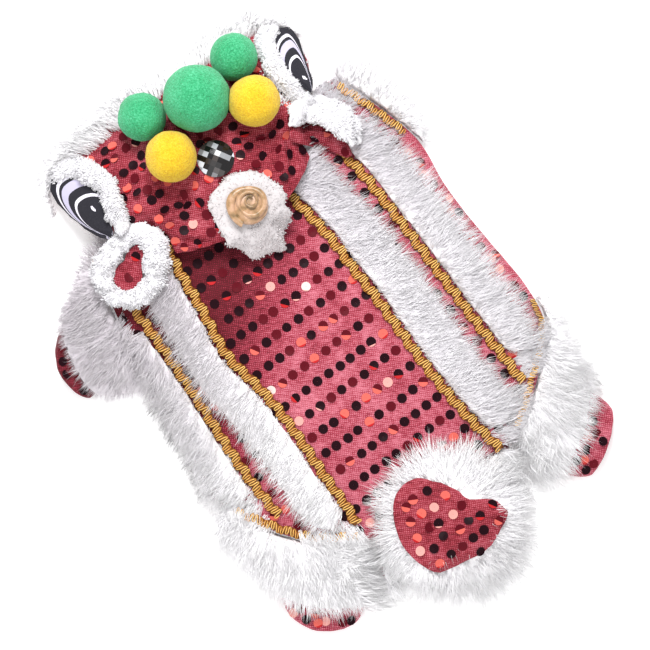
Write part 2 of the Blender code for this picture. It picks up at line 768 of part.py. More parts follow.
def make_tail(ground):
    """The tail: a round, flattened bunch of fur locks over the hem, reaching the floor behind."""
    def low(x, y):
        slope = 19.0 + (y + 150) * 0.47
        return max(ground.height(x, y, 2.5) + GAP, slope if y < -146 else 0.0, TAIL_FLOOR)

    top_rings = []
    bottom_rings = []
    for share in (0.3, 0.58, 0.82, 1.0):
        top = []
        bottom = []
        for i in range(TAIL_SPOKES):
            angle = 2 * math.pi * i / TAIL_SPOKES
            tip = TAIL_TIP * (1 if i % 2 else -1) if share == 1.0 else 0.0
            x = TAIL_AT[0] + (TAIL_REACH[0] * share + tip) * math.cos(angle)
            y = TAIL_AT[1] + (TAIL_REACH[1] * share + tip) * math.sin(angle)
            base = low(x, y)
            lock = 0.9 if i % 2 else -0.9
            rise = 2.6 + (TAIL_THICK - 2.6) * math.sqrt(max(0.0, 1 - share**2.2)) + lock * share
            bottom.append((x, y, base))
            top.append((x, y, base + rise))
        top_rings.append(top)
        bottom_rings.append(bottom)
    x, y = TAIL_AT
    lift = clearing_lift(ground, bottom_rings, wrap=True)
    seat = low(x, y) + lift
    top_rings = raised(top_rings, lift)
    bottom_rings = raised(bottom_rings, lift)
    material = finish("tail_fur", WHITE_FUR, 0.95)
    return disc_piece("tail_fur", (x, y, seat + TAIL_THICK, seat), top_rings, bottom_rings, material)


def make_patch(name, outline, ground, thick, material, reach=1.2, low=None):
    """A flat piece of an outline that lies on the ground, with a rounded edge."""
    count = len(outline)
    cx = sum(p[0] for p in outline) / count
    cy = sum(p[1] for p in outline) / count

    def base(x, y):
        height = ground.height(x, y, reach) + GAP
        return max(height, low(x, y)) if low else height

    top_rings = []
    bottom_rings = []
    for share, rise in ((0.38, 1.0), (0.72, 0.95), (1.0, 0.6)):
        ring = [(cx + (x - cx) * share, cy + (y - cy) * share) for x, y in outline]
        bottom_rings.append([(x, y, base(x, y)) for x, y in ring])
        top_rings.append([(x, y, base(x, y) + thick * rise) for x, y in ring])
    lift = clearing_lift(ground, bottom_rings, wrap=True)
    seat = base(cx, cy) + lift
    centre = (cx, cy, seat + thick, seat)
    return disc_piece(name, centre, raised(top_rings, lift), raised(bottom_rings, lift), material)


def make_roll(name, path, width, height, ground, material, reach=1.6):
    """A plush roll along a path, lying on the ground, lumpy along its top."""
    rings = []
    last = len(path) - 1
    for i, (x, y) in enumerate(path):
        ahead = path[min(i + 1, last)]
        behind = path[max(i - 1, 0)]
        run = Vector((ahead[0] - behind[0], ahead[1] - behind[1])).normalized()
        end = 0.55 if i in (0, last) else 1.0
        lump = 0.6 if i % 2 else -0.3
        ring = []
        for c, rise in ((-0.38, 0), (0.38, 0), (0.5, 0.45), (0.3, 0.9), (-0.3, 0.9), (-0.5, 0.45)):
            px = x - run.y * c * width * end
            py = y + run.x * c * width * end
            low = ground.height(px, py, reach) + GAP
            ring.append((px, py, low + rise * (height + lump) * end))
        rings.append(ring)
    rings = raised(rings, clearing_lift(ground, [ring[:2] for ring in rings]))
    count = len(rings[0])
    points = [p for ring in rings for p in ring]
    faces = grid_faces(len(rings), count, wrap=True)
    faces.append(tuple(range(count)))
    faces.append(tuple(last * count + c for c in range(count)))
    return mesh_piece(name, points, faces, material)


def hat_point(row, c):
    """A point of the hat's outside at c from -1 to 1 across a row."""
    x = HAT_RIDGE_X + c * (HAT_RIDGE_X - row.left if c < 0 else row.right - HAT_RIDGE_X)
    y = row.y - row.bow * (1 - c * c)
    z = row.rim + (row.crown - row.rim) * (1 - abs(c) ** HAT_POWER) ** (1 / HAT_FALL)
    return x, y, z


def make_hat_shell():
    """The hollow red hood, lying face up: its mouth edge on the suit, its top end on the floor."""
    rows = [[hat_point(row, c) for c in HAT_COLUMNS] for row in HAT_ROWS]
    return sheet_piece("hat_shell", rows, HAT_WALL, finish("hat_shell", RED, 0.75))


def hat_edge():
    """The hat's edge on the floor plan, from its left side over the top to its right side."""
    side_rows = HAT_ROWS[5:-1]
    left = [hat_point(row, -1)[:2] for row in side_rows]
    top = [hat_point(HAT_ROWS[-1], c)[:2] for c in HAT_COLUMNS]
    right = [hat_point(row, 1)[:2] for row in reversed(side_rows)]
    return [Vector(p) for p in left + top + right]


def make_hat_back_fur():
    """The white fur round the hat's top end: a crescent on the floor, in locks that point outwards."""
    edge = hat_edge()
    rings = []
    for i, (x, y) in enumerate(HAT_FUR_TIPS):
        tip = Vector((x, y))
        root = min(edge, key=lambda p, tip=tip: (p - tip).length)
        for a, b in zip(edge, edge[1:]):
            share = max(0.0, min(1.0, (tip - a).dot(b - a) / max((b - a).length_squared, 1e-9)))
            near = a + (b - a) * share
            if (near - tip).length < (root - tip).length:
                root = near
        out = (tip - root).normalized()
        root = root + out * 0.9
        span = (tip - root).length + (1.2 if i % 2 else -0.8)
        end = 0.7 if i in (0, len(HAT_FUR_TIPS) - 1) else 1.0
        lock = 0.9 if i % 2 else -0.9
        ring = []
        for share, z in ((0, 0.4), (0, 9.0), (0.4, 12.5), (0.85, 9.0), (1.0, 4.0), (0.9, 0.4)):
            spot = root + out * span * share
            ring.append((spot.x, spot.y, max(0.4, z * end + (lock if z > 4 else 0))))
        rings.append(ring)
    count = len(rings[0])
    points = [p for ring in rings for p in ring]
    faces = grid_faces(len(rings), count, wrap=True)
    faces.append(tuple(range(count)))
    faces.append(tuple((len(rings) - 1) * count + c for c in range(count)))
    return mesh_piece("hat_back_fur", points, faces, finish("hat_back_fur", WHITE_FUR, 0.95))


def make_pompom(key, pompom, ground):
    """A pompom of short tufts, lowered until it touches what is under it."""
    work = bmesh.new()
    bmesh.ops.create_uvsphere(work, u_segments=POMPOM_SEGMENTS, v_segments=POMPOM_RINGS,
                              radius=pompom.radius * MM)
    for vertex in work.verts:
        around = round(math.atan2(vertex.co.y, vertex.co.x) / (2 * math.pi / POMPOM_SEGMENTS))
        lean = math.acos(max(-1, min(1, vertex.co.z / (pompom.radius * MM))))
        ring = round(lean / math.pi * POMPOM_RINGS)
        vertex.co *= 1 + POMPOM_TUFT * (1 if (around + ring) % 2 else -1)
    skin = [v.co / MM for v in work.verts] + [f.calc_center_median() / MM for f in work.faces]
    z = 110.0
    while min(ground.distance(pompom.x + p.x, pompom.y + p.y, z + p.z) for p in skin) > GAP + 0.1:
        z -= 0.1
    bmesh.ops.translate(work, verts=work.verts, vec=Vector((pompom.x, pompom.y, z)) * MM)
    name = "pompom_" + key
    mesh = bpy.data.meshes.new(name)
    work.to_mesh(mesh)
    work.free()
    colour = GREEN if pompom.colour == "green" else YELLOW
    mesh.materials.append(finish(name, colour, 0.9))
    mesh.shade_smooth()
    piece = bpy.data.objects.new(name, mesh)
    bpy.data.collections["lion_dance_costume"].objects.link(piece)
    return piece


def make_mirror(ground):
    """The dark stone on the forehead: a table, eight crown facets and a girdle, set square to the hat."""
    sides = 8
    rings = []
    for radius, height, turn in ((MIRROR_RADIUS - 0.6, 0, 0), (MIRROR_RADIUS, 1.6, 0),
                                 (MIRROR_RADIUS * 0.82, 3.4, 0.5), (MIRROR_TABLE, MIRROR_HEIGHT, 0)):
        rings.append([(radius * math.cos(2 * math.pi * (i + turn) / sides),
                       radius * math.sin(2 * math.pi * (i + turn) / sides), height) for i in range(sides)])
    x, y = MIRROR_AT
    normal = ground.normal(x, y)
    turn = Vector((0, 0, 1)).rotation_difference(normal).to_matrix()
    seat = Vector((x, y, ground.height(x, y))) + normal * (GAP + 0.1)
    points = [tuple(seat + turn @ Vector(p)) for ring in rings for p in ring]
    faces = grid_faces(len(rings), sides, wrap=True)
    faces.append(tuple(range(sides)))
    faces.append(tuple((len(rings) - 1) * sides + c for c in range(sides)))
    return mesh_piece("forehead_mirror", points, faces, finish("forehead_mirror", SMOKE, 0.08, 0.2))


def nose_outline():
    """The muzzle plush's edge: round above, longer in ragged locks below."""
    points = []
    count = 20
    for i in range(count):
        degrees = 360 * i / count
        for (d1, r1), (d2, r2) in zip(NOSE_REACH, NOSE_REACH[1:]):
            if d1 <= degrees < d2:
                share = (degrees - d1) / (d2 - d1)
                reach = r1 + (r2 - r1) * (1 - math.cos(math.pi * share)) / 2
        reach += NOSE_TIP * (1 if i % 2 else -1) * (1.0 if degrees > 180 else 0.3)
        angle = math.radians(degrees)
        points.append((NOSE_AT[0] + reach * math.cos(angle), NOSE_AT[1] + reach * math.sin(angle)))
    return points


def make_nose(ground):
    """The white muzzle plush: it lies on the hat and falls from its mouth edge to the suit's back."""
    def ramp(_, y):
        return MUZZLE_LOW + max(0.0, min(y - 50, 22)) * MUZZLE_SLOPE
    return make_patch("nose_patch", nose_outline(), ground, NOSE_THICK,
                      finish("nose_patch", WHITE_FUR, 0.95), reach=2.5, low=ramp)


def make_rosette(ground):
    """The nose: a coil of satin, its turns a spiral ridge round a raised middle."""
    spokes = 16
    turns = 2.5
    x0, y0 = ROSETTE_AT
    inside = 0.6 * ROSETTE_RADIUS
    low = max(ground.height(x0 + dx, y0 + dy, 2.0)
              for dx, dy in ((inside, 0), (-inside, 0), (0, inside), (0, -inside)))

    def base(x, y):
        return max(ground.height(x, y, 1.5) + GAP, low - 1.5)

    top_rings = []
    bottom_rings = []
    for share in (0.25, 0.42, 0.6, 0.78, 0.93, 1.0):
        top = []
        bottom = []
        for i in range(spokes):
            angle = 2 * math.pi * i / spokes
            x = x0 + ROSETTE_RADIUS * share * math.cos(angle)
            y = y0 + ROSETTE_RADIUS * share * math.sin(angle)
            ridge = 0.5 + 0.5 * math.cos(2 * math.pi * turns * share + angle)
            dome = math.sqrt(max(0.0, 1 - share**3))
            bottom.append((x, y, base(x, y)))
            top.append((x, y, base(x, y) + 1.4 + (ROSETTE_HEIGHT - 2.6) * dome + 1.2 * ridge * dome))
        top_rings.append(top)
        bottom_rings.append(bottom)
    centre = (x0, y0, base(x0, y0) + ROSETTE_HEIGHT, base(x0, y0))
    material = finish("nose_rosette", SATIN, 0.35, 0.2)
    return disc_piece("nose_rosette", centre, top_rings, bottom_rings, material)


def make_eyes(ground):
    """Both printed eye patches and the plush lids round them."""
    plush = WHITE_FUR
    return [
        make_patch("eye_left", EYE_LEFT, ground, EYE_THICK, finish("eye_left", EYE_PRINT, 0.5), 0.8),
        make_patch("eye_right", EYE_RIGHT, ground, EYE_THICK, finish("eye_right", EYE_PRINT, 0.5), 0.8),
        make_roll("eyelid_plush_left", LID_LEFT, LID_WIDTH, LID_HEIGHT, ground,
                  finish("eyelid_plush_left", plush, 0.95)),
        make_roll("eyelid_plush_right", LID_RIGHT, LID_WIDTH, LID_HEIGHT, ground,
                  finish("eyelid_plush_right", plush, 0.95)),
    ]


def tilted_seat(ground, places, middle, tilt, reach):
    """Height of the lowest plane, tilted along x, that clears the ground under all the places."""
    return max(ground.height(x, y, reach) + GAP - tilt * (x - middle) for x, y in places)


def make_left_ear(ground):
    """The left ear, open to the viewer: a plush ring with a red cup in it."""
    spokes = 20
    cx, cy = EAR_LEFT_AT

    def place(share, angle):
        rx = EAR_LEFT_INNER[0] + (EAR_LEFT_OUTER[0] - EAR_LEFT_INNER[0]) * share
        ry = EAR_LEFT_INNER[1] + (EAR_LEFT_OUTER[1] - EAR_LEFT_INNER[1]) * share
        return cx + rx * math.cos(angle), cy + ry * math.sin(angle)

    angles = [2 * math.pi * i / spokes for i in range(spokes)]
    seat = tilted_seat(ground, [place(s, a) for a in angles for s in (0, 0.5, 1)], cx, EAR_LEFT_TILT, 1.5)
    rings = []
    for i, angle in enumerate(angles):
        ring = []
        lump = 0.8 if i % 2 else -0.4
        for share, rise in EAR_PLUSH_SECTION:
            x, y = place(share, angle)
            ring.append((x, y, seat + EAR_LEFT_TILT * (x - cx) + rise * (EAR_PLUSH_HEIGHT + lump)))
        rings.append(ring)
    count = len(rings[0])
    points = [p for ring in rings for p in ring]
    faces = []
    for r in range(spokes):
        for c in range(count):
            a = r * count + c
            b = r * count + (c + 1) % count
            d = ((r + 1) % spokes) * count + c
            e = ((r + 1) % spokes) * count + (c + 1) % count
            faces.append((a, b, e, d))
    plush = mesh_piece("ear_plush_left", points, faces, finish("ear_plush_left", WHITE_FUR, 0.95))
    top_rings = []
    bottom_rings = []
    for share in (0.4, 0.75, 1.0):
        ring = [place(0.0, a) for a in angles]
        ring = [(cx + (x - cx) * share * 0.93, cy + (y - cy) * share * 0.93) for x, y in ring]
        dish = 2.4 * share**2
        bottom_rings.append([(x, y, seat + EAR_LEFT_TILT * (x - cx) + 0.2 + dish) for x, y in ring])
        top_rings.append([(x, y, seat + EAR_LEFT_TILT * (x - cx) + 1.7 + dish) for x, y in ring])
    cup = disc_piece("ear_left", (cx, cy, seat + 1.7, seat + 0.2), top_rings, bottom_rings,
                     finish("ear_left", SEQUIN_RED, 0.5))
    return [plush, cup]


def make_right_ear(ground):
    """The right ear, turned away: its red arched back, and the plush behind it."""
    middle = EAR_RIGHT_PATH[2][0]
    rows = []
    last = len(EAR_RIGHT_PATH) - 1
    places = []
    for i, ((x, y), width) in enumerate(zip(EAR_RIGHT_PATH, EAR_RIGHT_WIDTHS)):
        ahead = EAR_RIGHT_PATH[min(i + 1, last)]
        behind = EAR_RIGHT_PATH[max(i - 1, 0)]
        run = Vector((ahead[0] - behind[0], ahead[1] - behind[1])).normalized()
        rows.append([(x - run.y * c * width, y + run.x * c * width, 1 - (2 * c) ** 2)
                     for c in (-0.5, -0.36, -0.18, 0, 0.18, 0.36, 0.5)])
        places += [(p[0], p[1]) for p in rows[-1]]
    seat = tilted_seat(ground, places, middle, 0.0, 1.5) + EAR_WALL * 0.8
    rows = [[(x, y, seat + EAR_RIGHT_RISE * rise) for x, y, rise in row] for row in rows]
    back = sheet_piece("ear_right", rows, EAR_WALL, finish("ear_right", SEQUIN_RED, 0.5))
    plush = make_roll("ear_plush_right", EAR_PLUSH_RIGHT_PATH, 8.4, 7.0, ground,
                      finish("ear_plush_right", WHITE_FUR, 0.95), reach=4.5)
    return [back, plush]


def main():
    """Build the suit from the cloth outwards, then the hat and what is on it."""
    start_empty()
    back = make_back_cloth()
    make_belly_cloth()
    rump = make_rump_fur()
    on_back = Ground([back])
    braids = make_long_braids(on_back)
    hems = make_hem_braids(on_back)
    bands = make_fur_bands(on_back)
    sleeves = [make_sleeve(key, sleeve) for key, sleeve in SLEEVES.items()]
    for key, sleeve in SLEEVES.items():
        make_cuff(key, sleeve)
    tail = make_tail(Ground([back, rump, *braids, *hems, *bands, *sleeves]))
    tail_patch_finish = finish("tail_patch", SEQUIN_RED, 0.4, 0.3)
    make_patch("tail_patch", TAIL_PATCH, Ground([tail]), PATCH_THICK, tail_patch_finish, reach=2.0)
    shell = make_hat_shell()
    make_hat_back_fur()
    on_hat = Ground([shell])
    make_eyes(on_hat)
    make_mirror(on_hat)
    nose = make_nose(Ground([shell, back, *braids, *bands]))
    make_rosette(Ground([nose]))
    on_suit = Ground([back, *braids, *hems, *bands, *sleeves])
    make_left_ear(on_suit)
    make_right_ear(on_suit)
    seated = [shell]
    for key, pompom in POMPOMS.items():
        seated.append(make_pompom(key, pompom, Ground(seated)))


main()
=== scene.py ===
"""Dress of a small pet's lion dance costume: its cloth, fur, sequins, braid and plush, and the hat's face.

Lengths in the tables are millimetres, and MM turns them into metres. +Y points from the tail to the hat,
and +Z up.
"""

from __future__ import annotations

import json
import logging
import math
from collections.abc import Iterable, Iterator
from contextlib import contextmanager
from dataclasses import dataclass
from enum import Enum
from functools import cache

import bmesh
import bpy
import numpy as np
from mathutils import Matrix, Vector, noise
from mathutils.bvhtree import BVHTree

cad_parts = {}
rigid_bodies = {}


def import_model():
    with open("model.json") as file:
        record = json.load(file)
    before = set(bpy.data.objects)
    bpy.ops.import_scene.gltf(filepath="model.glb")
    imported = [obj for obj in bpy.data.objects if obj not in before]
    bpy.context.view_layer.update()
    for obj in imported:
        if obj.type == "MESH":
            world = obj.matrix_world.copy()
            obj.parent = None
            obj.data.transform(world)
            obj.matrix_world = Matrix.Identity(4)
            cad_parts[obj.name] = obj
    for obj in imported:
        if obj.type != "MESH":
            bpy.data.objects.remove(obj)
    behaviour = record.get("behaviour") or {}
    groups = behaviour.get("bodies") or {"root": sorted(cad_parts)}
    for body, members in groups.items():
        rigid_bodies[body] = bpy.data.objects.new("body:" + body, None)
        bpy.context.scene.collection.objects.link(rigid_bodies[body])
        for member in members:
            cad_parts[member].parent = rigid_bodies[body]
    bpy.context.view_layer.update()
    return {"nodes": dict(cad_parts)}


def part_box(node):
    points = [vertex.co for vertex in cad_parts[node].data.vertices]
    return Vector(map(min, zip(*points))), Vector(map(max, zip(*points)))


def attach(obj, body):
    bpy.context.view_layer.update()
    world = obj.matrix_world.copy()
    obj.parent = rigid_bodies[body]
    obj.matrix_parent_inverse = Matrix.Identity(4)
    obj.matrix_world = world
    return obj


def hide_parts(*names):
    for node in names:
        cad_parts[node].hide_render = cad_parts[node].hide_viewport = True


for default_object in list(bpy.data.objects):
    bpy.data.objects.remove(default_object)
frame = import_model()

LOG = logging.getLogger("costume")
MM = 0.001
PER_MM2 = 1e6
TINY = 1e-9
ABOVE_ALL = 90.0
UP, DOWN = Vector((0, 0, 1)), Vector((0, 0, -1))
WHITE = (1.0, 1.0, 1.0)
CAMERA_AIM, CAMERA_AWAY = (11.0, 0.85), 1625.0
PHOTO_CORNER, PIXEL_STEP = (-33.6, 273.0), (0.48732, 0.35004)
MIX_FACTOR, MIX_FIRST, MIX_SECOND, MIX_RESULT = 0, 6, 7, 2
Colour = tuple[float, float, float]
Pair = tuple[float, float]
Points = np.ndarray


# Nodes and trees


class Wiring:
    """Adds nodes to a tree and links them, for finishes and for Geometry Nodes alike."""

    def __init__(self, tree: bpy.types.NodeTree) -> None:
        """Start on a tree."""
        self.tree = tree

    @staticmethod
    def socket(sockets: bpy.types.bpy_prop_collection, name: str | int) -> bpy.types.NodeSocket:
        """The socket in use that has a name, or the one at an index."""
        if isinstance(name, int):
            return sockets[name]
        return next(found for found in sockets if found.name == name and found.enabled)

    def feed(self, socket: bpy.types.NodeSocket, value: object) -> None:
        """Give a socket a link, or a value of its own.

        Args:
            socket: The socket to feed.
            value: A node, whose first output in use is taken, a socket, or a plain value.
        """
        if isinstance(value, bpy.types.Node):
            value = next(found for found in value.outputs if found.enabled)
        if isinstance(value, bpy.types.NodeSocket):
            self.tree.links.new(value, socket)
        else:
            socket.default_value = value

    def add(self, kind: str, inputs: dict[str | int, object] | None = None,
            **settings: object) -> bpy.types.Node:
        """A new node.

        Args:
            kind: The node's type name.
            inputs: What feeds its inputs, by name or index.
            settings: Its own settings.

        Returns:
            The node.
        """
        node = self.tree.nodes.new(kind)
        for name, value in settings.items():
            setattr(node, name, value)
        for name, value in (inputs or {}).items():
            self.feed(self.socket(node.inputs, name), value)
        return node

    def math(self, operation: str, first: object, second: object = 0.0) -> bpy.types.Node:
        """A Math node on two values."""
        return self.add("ShaderNodeMath", {0: first, 1: second}, operation=operation)


class Dye(Wiring):
    """A new material's nodes, round its one Principled shader."""

    def __init__(self, name: str, **sockets: object) -> None:
        """Make the material and set its shader's own sockets.

        Args:
            name: The material's name.
            sockets: Values for the shader, by input name with _ for a space.
        """
        self.material = bpy.data.materials.new(name)
        self.material.use_nodes = True
        super().__init__(self.material.node_tree)
        self.shader = self.tree.nodes["Principled BSDF"]
        for socket_name, value in sockets.items():
            self.shader.inputs[socket_name.replace("_", " ")].default_value = value
        self.place = self.add("ShaderNodeTexCoord").outputs["Object"]

    def attribute(self, name: str) -> bpy.types.NodeSocket:
        """A number that the mesh keeps by name."""
        return self.add("ShaderNodeAttribute", attribute_name=name).outputs["Fac"]

    def stretched(self, scale: Colour, turn: float = 0.0) -> bpy.types.Node:
        """Object coordinates, turned about Z and scaled by axis."""
        turned = self.add("ShaderNodeMapping", {"Vector": self.place, "Rotation": (0.0, 0.0, turn)})
        return self.add("ShaderNodeMapping", {"Vector": turned, "Scale": scale})

    def noise(self, pitch: float, detail: float = 3.0, rough: float = 0.55,
              place: object = None) -> bpy.types.NodeSocket:
        """Soft noise whose lumps are a pitch apart, in millimetres."""
        inputs = {"Vector": place or self.place, "Scale": 1 / (pitch * MM), "Detail": detail,
                  "Roughness": rough}
        return self.add("ShaderNodeTexNoise", inputs).outputs["Fac"]

    def cells(self, pitch: float) -> bpy.types.NodeSocket:
        """Distance from the middles of cells that are a pitch apart, in millimetres."""
        inputs = {"Vector": self.place, "Scale": 1 / (pitch * MM)}
        return self.add("ShaderNodeTexVoronoi", inputs).outputs["Distance"]

    def weighed(self, first: object, first_share: float, second: object,
                second_share: float) -> bpy.types.Node:
        """Two amounts added, each times its share."""
        shares = (self.math("MULTIPLY", first, first_share), self.math("MULTIPLY", second, second_share))
        return self.math("ADD", *shares)

    def centred(self, amount: object, size: float) -> bpy.types.Node:
        """An amount from 0 to 1, moved to lie round 0 and times a size."""
        return self.math("MULTIPLY", self.math("SUBTRACT", amount, 0.5), size)

    def toward(self, x: float, y: float) -> bpy.types.NodeSocket:
        """How far each place lies along a direction seen from above, in metres."""
        along = self.add("ShaderNodeVectorMath", {0: self.place, 1: (x, y, 0.0)}, operation="DOT_PRODUCT")
        return along.outputs["Value"]

    def faded(self, along: object, start: float, end: float, low: float = 0.0,
              high: float = 1.0) -> bpy.types.NodeSocket:
        """A number that goes from low to high between two distances, in millimetres."""
        ends = {"Value": along, "From Min": start * MM, "From Max": end * MM, "To Min": low, "To Max": high}
        return self.add("ShaderNodeMapRange", ends).outputs["Result"]

    def ramp(self, amount: object, stops: Iterable[tuple[float, Colour]],
             hard: bool = False) -> bpy.types.Node:
        """A colour ramp on an amount, with hard or soft changes."""
        node = self.add("ShaderNodeValToRGB", {"Fac": amount})
        node.color_ramp.interpolation = "CONSTANT" if hard else "LINEAR"
        elements = node.color_ramp.elements
        stops = list(stops)
        while len(elements) < len(stops):
            elements.new(1.0)
        for element, (position, colour) in zip(elements, stops):
            element.position = position
            element.color = (*colour, 1.0)
        return node

    def mixed(self, amount: object, first: object, second: object,
              blend: str = "MIX") -> bpy.types.NodeSocket:
        """Two colours mixed by an amount."""
        node = self.add("ShaderNodeMix", data_type="RGBA", blend_type=blend)
        self.feed(node.inputs[MIX_FACTOR], amount)
        self.feed(node.inputs[MIX_FIRST], self.opaque(first))
        self.feed(node.inputs[MIX_SECOND], self.opaque(second))
        return node.outputs[MIX_RESULT]

    @staticmethod
    def opaque(colour: object) -> object:
        """A plain colour with its alpha, or a socket as it is."""
        return (*colour, 1.0) if isinstance(colour, tuple) else colour

    def finished(self, colour: object, height: object = None, depth: float = 0.2) -> bpy.types.Material:
        """The material with its colour, and a bump of a depth in millimetres where it has one."""
        self.feed(self.shader.inputs["Base Color"], self.opaque(colour))
        if height is not None:
            bump = self.add("ShaderNodeBump", {"Height": height, "Distance": depth * MM, "Strength": 1.0})
            self.feed(self.shader.inputs["Normal"], bump)
        return self.material


# Finishes


@dataclass(frozen=True)
class RedCloth:
    """Thin red cloth with a fine open weave, pink slubs painted as glints of its shiny thread, and a painted
    shadow of the hat.
    """

    name: str
    deep: Colour
    body: Colour
    painted_glint: Colour
    # Painted light far from the hat and painted shadow of the hat near it, as shifts along the colour ramp.
    painted_light_far: float = 0.0
    painted_hat_shadow: float = 0.0
    thread: float = 1.15
    waves_per_thread: float = 0.314
    rib_turns: Pair = (0.5, 2.05)
    hat_way: Pair = (-0.63, 0.77)
    hat_shade_from: float = 8.0
    hat_shade_to: float = 54.0
    hat_shade_wander: float = 50.0

    def material(self) -> bpy.types.Material:
        """Two sets of crossing ribs with coloured slubs, pink where they are painted glints."""
        dye = Dye(self.name, Roughness=0.62, Sheen_Weight=0.06, Sheen_Roughness=0.4, Specular_IOR_Level=0.2)
        ribs = []
        for turn in self.rib_turns:
            place = dye.stretched((1.0, 1.0, 0.35), turn)
            bands = {"Vector": place, "Scale": self.waves_per_thread / (self.thread * MM), "Distortion": 2.2,
                     "Detail": 1.5, "Detail Scale": 1.5}
            ribs.append(dye.add("ShaderNodeTexWave", bands, bands_direction="X").outputs["Fac"])
        weave = dye.math("MULTIPLY", ribs[0], ribs[1])
        # Slubs at the pink end of the ramp are painted glints of the shiny thread.
        slub = dye.noise(1.9, 4.0, 0.75, dye.stretched((0.5, 1.5, 1.0), 0.6))
        patch = dye.noise(17, 4.0, 0.6)
        amount = dye.math("ADD", dye.weighed(weave, 0.34, slub, 0.80), dye.centred(patch, 0.55))
        # Painted shadow of the hat: the cloth darkens toward the hat along a wandering edge, and is painted
        # lighter away from it.
        along = dye.math("ADD", dye.toward(*self.hat_way), dye.centred(patch, self.hat_shade_wander * MM))
        fade = dye.faded(along, self.hat_shade_from, self.hat_shade_to, self.painted_light_far, self.painted_hat_shadow)
        stops = ((0.22, self.deep), (0.46, self.body), (0.80, self.painted_glint))
        colour = dye.ramp(dye.math("ADD", amount, fade), stops)
        return dye.finished(colour, dye.math("ADD", weave, slub), 0.28)


@dataclass(frozen=True)
class SequinFoil:
    """Red foil in painted reflections: nearly black, wine red, coral or pink, as a disc turned toward the
    dark room or the lamp would show.
    """

    painted_reflections: tuple[Colour, ...] = (
        (0.016, 0.003, 0.006), (0.12, 0.006, 0.013), (0.55, 0.022, 0.026), (0.80, 0.15, 0.12),
        (0.90, 0.40, 0.36), (0.95, 0.72, 0.68))

    def material(self) -> bpy.types.Material:
        """Painted reflection by the number that each face keeps, with fine scratches."""
        dye = Dye("sequin_foil", Roughness=0.4, Specular_IOR_Level=0.06)
        stops = [(step / len(self.painted_reflections), shade) for step, shade in enumerate(self.painted_reflections)]
        shade = dye.ramp(dye.attribute("shade"), stops, hard=True)
        streak = dye.noise(0.8, 3.0, 0.6, dye.stretched((1.0, 5.0, 1.0), 0.4))
        colour = dye.mixed(dye.math("MULTIPLY", streak, 0.35), shade, (0.0, 0.0, 0.0))
        return dye.finished(colour, streak, 0.04)


@dataclass(frozen=True)
class Pile:
    """Soft white pile, with painted shade from root to tip, a tone that varies at random from lock to lock,
    and a painted shadow of the hat.
    """

    name: str
    root: Colour
    tip: Colour
    shade: Colour
    sheen: float
    glow: float = 0.0
    painted_hat_shadow: Colour = WHITE
    hat_way: Pair = (-0.3, 0.95)
    hat_shade_from: float = -20.0
    hat_shade_to: float = 85.0

    def material(self) -> bpy.types.Material:
        """Painted shade darkest at each hair's root, colour that varies a little from hair to hair and place
        to place, and a painted hat shadow.

        A faint glow stands in for the light that long fur scatters inside.
        """
        dye = Dye(self.name, Roughness=0.8, Sheen_Weight=self.sheen, Sheen_Roughness=0.5,
                  Specular_IOR_Level=0.1, Emission_Color=(*WHITE, 1.0), Emission_Strength=self.glow)
        # Painted shade: each hair darkens toward its root, where shade falls deep in the pile.
        hair = dye.mixed(dye.attribute("along"), self.root, self.tip)
        lock = dye.math("MULTIPLY", dye.math("MULTIPLY", dye.attribute("tone"), dye.noise(9, 2.0)), 0.5)
        # Painted shadow of the hat, where a pile has one: the pile darkens toward the hat.
        fade = dye.faded(dye.toward(*self.hat_way), self.hat_shade_from, self.hat_shade_to)
        painted_hat_shade = dye.mixed(fade, WHITE, self.painted_hat_shadow)
        colour = dye.mixed(1.0, dye.mixed(lock, hair, self.shade), painted_hat_shade, "MULTIPLY")
        return dye.finished(colour, dye.noise(1.1, 4.0, 0.7), 0.08)


@dataclass(frozen=True)
class GoldGimp:
    """Gold thread wound in fine turns."""

    # The darkest colour is painted shade between the wires; the lightest is a painted highlight on their
    # crowns.
    dark: Colour = (0.26, 0.085, 0.011)
    body: Colour = (0.73, 0.275, 0.035)
    bright: Colour = (1.0, 0.66, 0.2)

    def material(self) -> bpy.types.Material:
        """Half metal thread with fine windings, a painted highlight on each wire's crown and painted shade on
        the core.
        """
        dye = Dye("gold_gimp", Roughness=0.42, Metallic=0.25, Specular_IOR_Level=0.4)
        turns = dye.noise(0.5, 3.0, 0.7)
        # The kept tone paints light and shade: light on the wires' crowns, dark on the core.
        amount = dye.math("ADD", turns, dye.centred(dye.attribute("tone"), 0.5))
        colour = dye.ramp(amount, ((0.25, self.dark), (0.5, self.body), (0.74, self.bright)))
        return dye.finished(colour, turns, 0.18)


@dataclass(frozen=True)
class Felted:
    """A dense clipped pompom, in one colour with paler and deeper grains."""

    name: str
    deep: Colour
    body: Colour
    pale: Colour

    def material(self) -> bpy.types.Material:
        """Fine grains of clipped fibre."""
        dye = Dye(self.name, Roughness=0.85, Sheen_Weight=0.15, Sheen_Roughness=0.6, Specular_IOR_Level=0.15)
        grain = dye.noise(1.0, 4.0, 0.65)
        stops = ((0.3, self.deep), (0.5, self.body), (0.7, self.pale))
        colour = dye.ramp(dye.weighed(grain, 0.8, dye.noise(9, 2.0), 0.2), stops)
        return dye.finished(colour, dye.math("SUBTRACT", grain, dye.cells(0.7)), 0.45)


